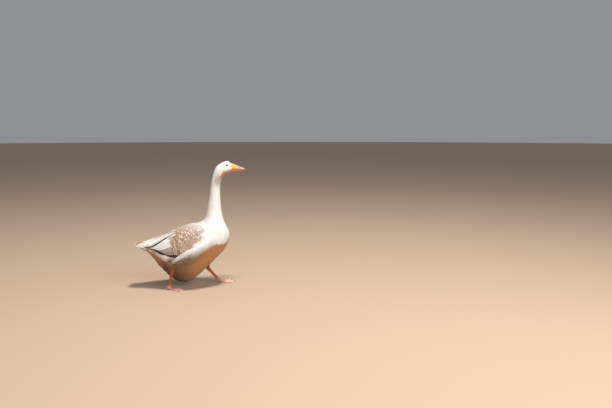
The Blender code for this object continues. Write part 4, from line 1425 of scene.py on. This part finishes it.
def body_coat(looks):
    """The small feathers of head, neck, breast, back and belly, parted into pieces."""

    def cell(place, angle):
        crowd = 1 - 0.25 * np.exp(-(((place - 12) / 1.6) ** 2))
        return CELL_SHARE * crowd * feather_length(place) ** 2 * (0.85 + 0.15 * np.cos(angle) ** 2)

    place, angle = scatter(body, COAT_ENDS, (-math.pi, math.pi), cell)
    draw = rng.random((len(place), 4))
    length = feather_length(place) * (0.85 + 0.3 * draw[:, 0])
    length = np.minimum(length, (place - 0.30) * 40 * MM)
    lengthwise, _ = slopes(body, place, angle)
    keep, length = eye_clearance(body(place, angle), -unit(lengthwise), length)
    keep &= off_quills(place, from_back(angle))
    place, angle, length, draw = (x[keep] for x in (place, angle, length, draw))
    depth = coat_depth(place)
    tint, band, rim = markings_and_shade(place, angle)
    fleck = np.clip(flecks(place, angle, draw[:, 1]), 0, 1)
    tint, band, rim = mix(tint, TAUPE, fleck), mix(band, TAUPE, fleck), mix(rim, MAUVE, 0.5 * fleck)
    tint, band, rim = (shaded(x, 0.06, draw[:, 2]) for x in (tint, band, rim))
    on_back = from_back(angle) < BACK_EDGE
    tracts = (
        ("coat_head", place >= HEAD_START, TINY, "soft", 0.40),
        ("coat_neck", (place >= NECK_START) & (place < HEAD_START), CONTOUR, "soft", 0.35),
        ("coat_breast", (place >= BREAST_START) & (place < NECK_START), CONTOUR, "soft", 0.38),
        ("coat_back", (place < BREAST_START) & on_back, CONTOUR, "firm", 0.34),
        ("coat_belly", (place < BREAST_START) & ~on_back, CONTOUR, "soft", 0.32),
    )
    for name, here, vane, look, wide in tracts:
        p, a, size, at = place[here], angle[here], length[here], draw[here]
        made = lay(
            coat_form, 1, vane, p, a, size, size * wide,
            turn=0.10 * either_way(at[:, 3]),
            low=-depth[here] * 0.95,
            high=0.2 * MM * (size / (20 * MM)) * (0.5 + at[:, 0]),
            bend=2.6,
            camber=0.06,
            tilt=0.035 * either_way(at[:, 1]),
        )
        bed = Bed(vane, made, roots_on(p, a, WHOLE), tint[here], band[here], rim[here])
        feather_piece(name, [bed], looks[look])


def rows_of(along_places, low, high, count):
    """Roots in rows: evenly spaced across from low to high, every other row set half a step over."""
    step = (high - low) / count
    spots = low + step * (np.arange(count) + 0.5)
    shifts = np.where(np.arange(len(along_places)) % 2, 0.25, -0.25) * step
    across = (spots[None, :] + shifts[:, None]).ravel()
    return np.repeat(np.asarray(along_places, float), count), across


def both_sides(build):
    """The beds of build(sign) for the right and the left side."""
    return build(-1) + build(1)


# A group of wing coverts: its rows along the wing, its range down the wing, feathers in a row, length and
# half width in millimetres, how far they hang down in degrees, their level, how much further forward the
# lower ones stand, and their shape.
Group = namedtuple("Group", "rows top bottom count length half_width hang level skew vane")
COVERTS = (
    Group(np.array([3.6, 3.3]), 0.40, 0.98, 8, 60, 12, 4, -1.2, 1.1, BROAD),
    Group(np.array([3.15, 2.9, 2.65, 2.4]), 0.42, 1.00, 9, 44, 9.5, 8, -0.6, 0.9, BROAD),
    Group(np.arange(2.6, 0.3, -0.17), 0.56, 1.14, 10, 25, 7.2, 26, -0.1, 0.0, CONTOUR),
)


def coverts(sign):
    """The wing's small feathers: a greater row over the quills, median ones, and lesser ones in front."""
    form = wing_form(sign)
    beds = []
    for group in COVERTS:
        along, across = rows_of(group.rows, group.top, group.bottom, group.count)
        draw = rng.random((len(along), 3))
        along = along + 0.05 * (draw[:, 1] - 0.5) + group.skew * (0.5 - across)
        front = 0.75 + 0.25 * smooth(0.1, 1.4, along)
        length = group.length * MM * (0.9 + 0.2 * draw[:, 0]) * front
        made = lay(
            form, sign, group.vane, -along, across, length, group.half_width * MM * front,
            turn=np.radians(group.hang) * smooth(3.5, 1.0, along) + 0.06 * either_way(draw[:, 1]),
            low=-5 * MM,
            high=group.level * MM + 0.5 * MM * draw[:, 2],
            bend=1.7,
            camber=0.12,
            tilt=0.08 * either_way(draw[:, 0]) + 0.05,
        )
        colours = covert_colours(along, across, draw)
        beds.append(Bed(group.vane, made, roots_on(along, across, HALF[sign]), *colours))
    return beds


def covert_colours(along, across, draw):
    """Coverts: cream white in front, a few of them buff, brown behind and in a line below, painted shade,
    with pale rims.
    """
    # Painted shade: a brown line where the coverts' lower edge casts its shadow
    line = smooth(0.46, 0.58, across) * smooth(0.92, 0.80, across) * smooth(0.4, 1.0, along)
    pale = smooth(2.0, 1.2, along) * (1 - 0.9 * line)
    brown = mix(mix(MAUVE, TAUPE, 0.35), mix(STONE, BUFF, 0.55), smooth(0.3, 0.9, draw[:, 1]))
    brown = mix(brown, TAUPE, 0.5 * smooth(0.80, 0.95, across))
    tint = mix(brown, mix(CREAM, WHITE, 0.7), pale)
    spot = np.where(draw[:, 0] < 0.25, 0.45, 0.06) * pale
    band = mix(mix(MAUVE, BUFF, 0.6), mix(CREAM, WHITE, 0.4), 0.9 * pale)
    band = mix(band, BUFF, spot)
    rim = mix(CREAM, WHITE, 0.25 + 0.7 * pale)
    return tuple(shaded(x, 0.10, draw[:, 2]) for x in (tint, band, rim))


# Over the rows of the scapulars: how far they hang down in degrees, their length in millimetres and their
# half width as a share of it
SCAPULAR_ROWS = (0.1, 1.0, 2.0, 3.0, 4.3)
SCAPULAR_HANG = (50, 45, 33, 20, 8)
SCAPULAR_LENGTH = (30, 40, 52, 62, 74)
SCAPULAR_WIDTH = (0.28, 0.28, 0.26, 0.24, 0.2)
SCAPULAR_STEP, SCAPULAR_GAP = 0.34, 0.30  # from row to row and within a row, as shares of the length
# How far down the wing their roots reach, over places along the wing, and where the foremost ones are
SCAPULAR_ENDS = (0.2, 0.9, 2.0, 2.7, 3.1, 3.8, 4.3)
SCAPULAR_REACH = (0.36, 0.58, 0.54, 0.46, 0.34, 0.14, 0.06)
SCAPULAR_FRONT = 0.3
ALONG_MM, ACROSS_MM = 42.0, 97.0  # size of one row, and of the whole drop from the upper to the lower edge


def scapulars(sign):
    """The scapulars, draped from the back over the top of the wing, larger to the rear.

    Their rows slant forwards and down wherever the feathers hang, so that the tips of a row make one bar.
    """
    form = wing_form(sign)
    along, across, row_number = [], [], []
    row, odd = SCAPULAR_ROWS[0], False
    fine = np.linspace(-0.27, 0.8, 600)
    hinge = 0.08 * np.log1p(np.exp((fine - 0.05) / 0.08))  # 0 on the back, then growing with the drop
    while row < SCAPULAR_ROWS[-1]:
        slant = math.tan(math.radians(np.interp(row, SCAPULAR_ROWS, SCAPULAR_HANG))) * ACROSS_MM / ALONG_MM
        length = np.interp(row, SCAPULAR_ROWS, SCAPULAR_LENGTH)
        line = row - slant * hinge
        pieces = np.hypot(np.diff(line) * ALONG_MM, np.diff(fine) * ACROSS_MM)
        run = np.concatenate([[0], np.cumsum(pieces)])
        step = length * SCAPULAR_GAP
        spots = np.interp(np.arange(step * (0.5 if odd else 0), run[-1], step), run, fine)
        along.append(np.interp(spots, fine, line))
        across.append(spots)
        row_number.append(np.full(len(spots), row))
        row += SCAPULAR_STEP * length / ALONG_MM
        odd = not odd
    along, across, row_number = (np.concatenate(x) for x in (along, across, row_number))
    keep = (along > SCAPULAR_FRONT) & (across < np.interp(along, SCAPULAR_ENDS, SCAPULAR_REACH))
    along, across, row_number = along[keep], across[keep], row_number[keep]
    draw = rng.random((len(along), 3))
    along = along + 0.04 * (draw[:, 0] - 0.5)
    size = np.interp(row_number, SCAPULAR_ROWS, SCAPULAR_LENGTH) * MM * (0.93 + 0.14 * draw[:, 0])
    half_width = size * np.interp(row_number, SCAPULAR_ROWS, SCAPULAR_WIDTH)
    hang = np.radians(np.interp(row_number, SCAPULAR_ROWS, SCAPULAR_HANG)) * smooth(-0.15, 0.2, across)
    made = lay(
        form, sign, BROAD, -along, across, size, half_width,
        turn=hang + 0.05 * either_way(draw[:, 1]),
        low=-5.0 * MM,
        high=0.5 * MM + 0.5 * MM * draw[:, 2],
        bend=1.8,
        camber=0.10,
        tilt=0.04 * either_way(draw[:, 0]),
    )
    top = smooth(0.22, -0.08, across)
    tint = mix(MAUVE, SLATE, smooth(2.6, 1.2, along))
    tint = mix(tint, mix(CREAM, SAND, smooth(0.6, 2.6, along)), 0.9 * top)
    rusty = np.where(draw[:, 1] < 0.25, 0.6, 0.1)
    tint = mix(tint, BUFF, rusty * smooth(1.4, 2.4, along) * (1 - 0.5 * top))
    tint = mix(tint, mix(CREAM, WHITE, 0.5), 0.8 * smooth(0.5, 0.0, along))
    band = mix(BUFF, CREAM, 0.55 * top + 0.6 * smooth(0.8, 0.2, along))
    rim = mix(CREAM, WHITE, 0.3 + 0.6 * smooth(2.9, 1.8, along))
    colours = (shaded(x, 0.10, draw[:, 1]) for x in (tint, band, rim))
    return [Bed(BROAD, made, roots_on(along, across, HALF[sign]), *colours)]


# A row of long quills: half width, level of the first one and drop to each next one, in millimetres, and
# bow, the power by which a quill's middle line bends across
Quills = namedtuple("Quills", "half_width level drop bow")
QUILL_ROOT = 3 * MM  # how much deeper a quill's root lies than its tip
SHINGLE = 0.07  # the lean of a wing's quills, upper rim deeper


def quill_bed(form, hand, starts, ends, quills, colours, box, tilt):
    """Long feathers side by side, with middle lines from starts to ends that fall across by v^bow."""
    count = len(starts)
    v = np.array(QUILL.along)
    line_along = starts[:, :1] + (ends - starts)[:, :1] * v
    line_across = starts[:, 1:] + (ends - starts)[:, 1:] * v**quills.bow
    high = (quills.level - quills.drop * np.arange(count))[:, None] * MM
    widths = np.full((count, 1), quills.half_width * MM)
    points = stand(
        form, hand, QUILL, line_along, line_across, widths,
        low=high - QUILL_ROOT,
        high=high,
        bend=1.2,
        camber=0.03,
        tilt=np.full((count, 1), tilt),
    )
    draw = rng.random(count)
    colours = (shaded(np.broadcast_to(x, (count, 3)), 0.08, draw) for x in colours)
    return Bed(QUILL, points, roots_on(np.arange(count) * 1.0, starts[:, 1], box), *colours)


# The quills of a folded wing as fans, lowest first.  Starts and ends are (row of the wing, across): the
# first quill's, and what is added for the last one.  The slit's near-black pair under the tertials' edge
# is painted shadow.
Fan = namedtuple("Fan", "count start start_step end end_step quills")
PRIMARIES = Fan(7, (3.0, 0.88), (0, 0.14), (7.40, 0.80), (-1.6, 0.19), Quills(9, -5.0, 0.12, 1.0))
SHADE_SLIT = Fan(2, (4.4, 0.15), (0, 0.02), (7.25, 0.745), (-0.3, 0.03), Quills(7.5, -1.1, 0.3, 1.15))
SECONDARIES = Fan(9, (3.5, 0.17), (0, 0.70), (6.98, 0.81), (-1.9, 0.12), Quills(12, -2.7, 0.18, 1.3))
TERTIALS = Fan(3, (3.3, -0.04), (0, 0.09), (7.45, 0.56), (-0.2, 0.10), Quills(9.5, 0.2, 0.4, 1.4))


def wing_quills(sign):
    """The long feathers of a folded wing, from the dark primaries below to the white tertials on top."""
    pale = smooth(0.66, 0.48, np.linspace(0, 1, SECONDARIES.count))
    secondary_colours = (
        mix(mix(STONE, MAUVE, 0.55), WHITE, pale),
        mix(mix(MAUVE, TAN, 0.3), mix(CREAM, WHITE, 0.6), 0.1 + 0.9 * pale),
        mix(CREAM, WHITE, 0.2 + 0.7 * pale),
    )
    fans = (
        (PRIMARIES, (UMBER, UMBER, mix(UMBER, TAUPE, 0.6))),
        # Painted shadow: a near-black pair of quills in the slit under the tertials
        (SHADE_SLIT, (UMBER, UMBER, TAUPE)),
        (SECONDARIES, secondary_colours),
        (TERTIALS, (WHITE, mix(CREAM, STONE, 0.4), WHITE)),
    )
    edges = np.linspace(HALF[sign][1], HALF[sign][3], len(fans) + 1)
    beds = []
    for number, (fan, colours) in enumerate(fans):
        share = np.linspace(0, 1, fan.count)[:, None]
        starts = (np.array(fan.start) + share * np.array(fan.start_step)) * [-1, 1]
        ends = (np.array(fan.end) + share * np.array(fan.end_step)) * [-1, 1]
        box = (0.02, edges[number] + 0.02, 0.98, edges[number + 1] - 0.02)
        bed = quill_bed(wing_form(sign), sign, starts, ends, fan.quills, colours, box, SHINGLE * sign)
        beds.append(bed)
    return beds


# The flank's feathers: their rows along the body, range from the crest in degrees and number in a row, and
# their length in millimetres over places along the body
FLANK_LINES = np.arange(9.9, 4.5, -0.12)
FLANK_TOP, FLANK_BOTTOM, FLANK_COUNT = -14.5, 30, 14
FLANK_PLACES, FLANK_LENGTHS = (4.4, 5.4, 7, 9.7), (24, 32, 34, 24)


def flank(sign):
    """Flank feathers: rows from the breast back to the thigh, white in front, mottled brown behind."""
    form = flank_form(sign)
    along, across = rows_of(FLANK_LINES, FLANK_TOP, FLANK_BOTTOM, FLANK_COUNT)
    draw = rng.random((len(along), 4))
    along = along + 0.08 * (draw[:, 0] - 0.5)
    size = np.interp(along, FLANK_PLACES, FLANK_LENGTHS) * MM * (0.9 + 0.2 * draw[:, 0])
    made = lay(
        form, sign, CONTOUR, along, across, size, size * 0.29,
        turn=0.12 * either_way(draw[:, 1]) + 0.5 * smooth(5.4, 4.6, along),
        low=-6 * MM,
        high=0.3 * MM + 0.5 * MM * draw[:, 2],
        bend=2.2,
        camber=0.08,
        tilt=0.06 * either_way(draw[:, 0]),
    )
    tint, band, rim = markings_and_shade(along, np.radians(flank_crest(along) + across))
    end = smooth(5.7, 4.9, along)
    top = smooth(1, -6, across) * (1 - end)
    tint, band, rim = (mix(x, WHITE, top) for x in (tint, band, rim))
    # Below the crest and at the roll's end the brown deepens: partly mottling, partly painted shade under the
    # roll
    rear = smooth(9.0, 6.9, along) * smooth(26, 18, across)
    low = np.maximum(smooth(-5, 5, across), end)
    brown = rear * (0.2 + 0.8 * low) * np.where(draw[:, 3] < 0.6, 0.96, 0.5 + 0.3 * end)
    dark = mix(mix(MAUVE, TAUPE, 0.85 + 0.15 * low), BROWN, smooth(7.8, 6.2, along) * low)
    tint = mix(tint, dark, brown)
    band = mix(band, dark, 0.85 * rear * (0.2 + 0.8 * low))
    rim = mix(rim, mix(CREAM, MAUVE, 0.3 + 0.5 * low), 0.7 * rear * (1 - 0.7 * smooth(6.2, 5.2, along)))
    colours = (shaded(x, 0.08, draw[:, 3]) for x in (tint, band, rim))
    return [Bed(CONTOUR, made, roots_on(along, across, HALF[sign]), *colours)]


def thigh_coat(leg):
    """Soft feathers on a thigh, lying down towards the hock and larger towards the hip."""

    def cell(along, across):
        return (4 + 3 * along) ** 2 * MM**2 + 0 * across

    form = thigh_form(leg)
    along, across = scatter(form, (0.04, 0.95), (-math.pi, math.pi), cell)
    draw = rng.random((len(along), 3))
    size = (11 + 14 * along) * MM * (0.85 + 0.3 * draw[:, 0])
    made = lay(
        form, -1, CONTOUR, along, across, size, size * 0.3,
        turn=0.2 * either_way(draw[:, 1]),
        low=-2.5 * MM,
        high=0.3 * MM,
        bend=1.8,
        camber=0.08,
    )
    # Russet to brown, darker towards the hock: partly the feathers' own colour, partly painted shade under
    # the body
    tint = mix(RUSSET, BROWN, 0.35 + 0.5 * smooth(0.7, 0.1, along))
    tint = shaded(tint, 0.10, draw[:, 2])
    rim = mix(tint, WHITE, np.full(len(along), 0.1))
    return [Bed(CONTOUR, made, roots_on(along, across, HALF[leg.sign]), tint, tint, rim)]


TAIL_PAIRS = 8
TAIL_ROOT = 2.6  # the place on the body where the tail's quills start
TAIL_QUILLS = Quills(13, 0.8, 0.35, 1.0)
TAIL_LEAN = 0.04


def tail_quills(sign):
    """Half of the tail's quills in a shallow fan, the middle one on top: brown there, white at the edge."""
    share = np.linspace(0, 1, TAIL_PAIRS)
    angle = sign * np.radians(6 + 84 * share)
    starts = np.stack([np.full(TAIL_PAIRS, TAIL_ROOT), angle * 0.6], axis=-1)
    ends = np.stack([0.02 + 0.55 * share**2.4, angle], axis=-1)
    outer = smooth(0.4, 0.85, share)
    tint = mix(mix(TAN, TAUPE, 0.45), WHITE, outer)
    band = mix(mix(TAN, SAND, 0.5), WHITE, outer)
    colours = (tint, band, mix(CREAM, WHITE, 0.6))
    return [quill_bed(coat_form, 1, starts, ends, TAIL_QUILLS, colours, HALF[sign], TAIL_LEAN * sign)]


# ---------------------------------------------------------------- stage

FLOOR_RADIUS = 40
# The lamps: where they hang and what they face, their width, power and colour
Lamp = namedtuple("Lamp", "name place target width power colour")
LAMPS = (
    Lamp("key", (-1.3, -0.7, 5.4), (0, 0, 0.3), 0.9, 280, (1.0, 0.97, 0.93)),
    Lamp("fill", (-3.0, -2.3, 2.3), (0, 0, 0.4), 2.8, 85, (1.0, 0.98, 0.96)),
)
SKY_STRENGTH = 0.3
# The camera: degrees behind square and down, metres from the bird, to its own right and above the floor
CAMERA_TURN, CAMERA_PITCH = 8.5, 7.1
CAMERA_DISTANCE, CAMERA_ASIDE, CAMERA_HEIGHT = 3.222, 0.6357, 0.86


def stage_floor():
    """A plain pale floor, round and wide."""
    count = 96
    turn = round_turns(count)
    rim = np.stack([np.cos(turn), np.sin(turn), np.zeros(count)], axis=-1) * FLOOR_RADIUS
    first = np.arange(count)
    faces = np.stack([np.full(count, count), first, np.roll(first, -1)], axis=-1)
    floor = mesh_object("floor", np.concatenate([rim, [[0, 0, 0]]]), faces)
    made, nodes, shader = new_material("floor_paint")
    nodes.fill(shader, {"Base Color": FLOOR_PAINT, "Roughness": 0.9})
    floor.data.materials.append(made)


def placed(name, data, place, facing):
    """A lamp or camera at a place, facing along a direction and upright."""
    made = bpy.data.objects.new(name, data)
    made.location = place
    made.rotation_euler = facing.to_track_quat("-Z", "Y").to_euler()
    bpy.context.scene.collection.objects.link(made)
    return made


def lights():
    """Soft overhead key, a weak fill from the camera's side, and an even pale surround."""
    for lamp in LAMPS:
        disc = bpy.data.lights.new(lamp.name, "AREA")
        disc.shape = "DISK"
        disc.size = lamp.width
        disc.energy = lamp.power
        disc.color = lamp.colour
        placed(lamp.name, disc, lamp.place, Vector(lamp.target) - Vector(lamp.place))
    world = bpy.data.worlds.new("surround")
    world.use_nodes = True
    background = world.node_tree.nodes["Background"]
    background.inputs["Color"].default_value = SKY
    background.inputs["Strength"].default_value = SKY_STRENGTH
    bpy.context.scene.world = world
    bpy.context.scene.view_settings.view_transform = "Standard"


def camera():
    """The camera on the bird's right, a little behind square, looking slightly down from above its head."""
    turn, pitch = math.radians(CAMERA_TURN), math.radians(CAMERA_PITCH)
    ahead = Vector((math.cos(turn), -math.sin(turn), 0))
    right = Vector((-math.sin(turn), -math.cos(turn), 0))
    place = -CAMERA_DISTANCE * ahead + CAMERA_ASIDE * right + Vector((0, 0, CAMERA_HEIGHT))
    eye = bpy.data.cameras.new("view")
    eye.lens = 35
    eye.sensor_width = 36
    looking = ahead * math.cos(pitch) - Vector((0, 0, math.sin(pitch)))
    bpy.context.scene.camera = placed("view", eye, place, looking)


# ---------------------------------------------------------------- the goose


def goose():
    """The whole bird: skin, eyes, bill and claws, then the coat piece by piece."""
    vanes = vane_group()
    looks = {key: feather_material(vanes, plumage) for key, plumage in PLUMAGES.items()}
    skin_piece([skin_material(), leg_material(scale_group()), lid_material()])
    glaze = eye_material()
    for side in SIDES:
        eye_piece(side, glaze)
    horn = bill_material()
    bill_piece("bill_upper", True, horn)
    bill_piece("bill_lower", False, horn)
    claws = claw_material()
    for leg in LEGS:
        claw_pieces(leg, claws)
    body_coat(looks)
    feather_piece("coat_scapulars", both_sides(scapulars), looks["firm"])
    feather_piece("coat_coverts", both_sides(coverts), looks["firm"])
    feather_piece("wing_quills", both_sides(wing_quills), looks["flight"], QUILL_PATCH)
    feather_piece("coat_flanks", both_sides(flank), looks["firm"])
    feather_piece("coat_thighs", thigh_coat(LEGS[0]) + thigh_coat(LEGS[1]), looks["soft"])
    feather_piece("tail_quills", both_sides(tail_quills), looks["flight"], QUILL_PATCH)


stage_floor()
lights()
camera()
goose()
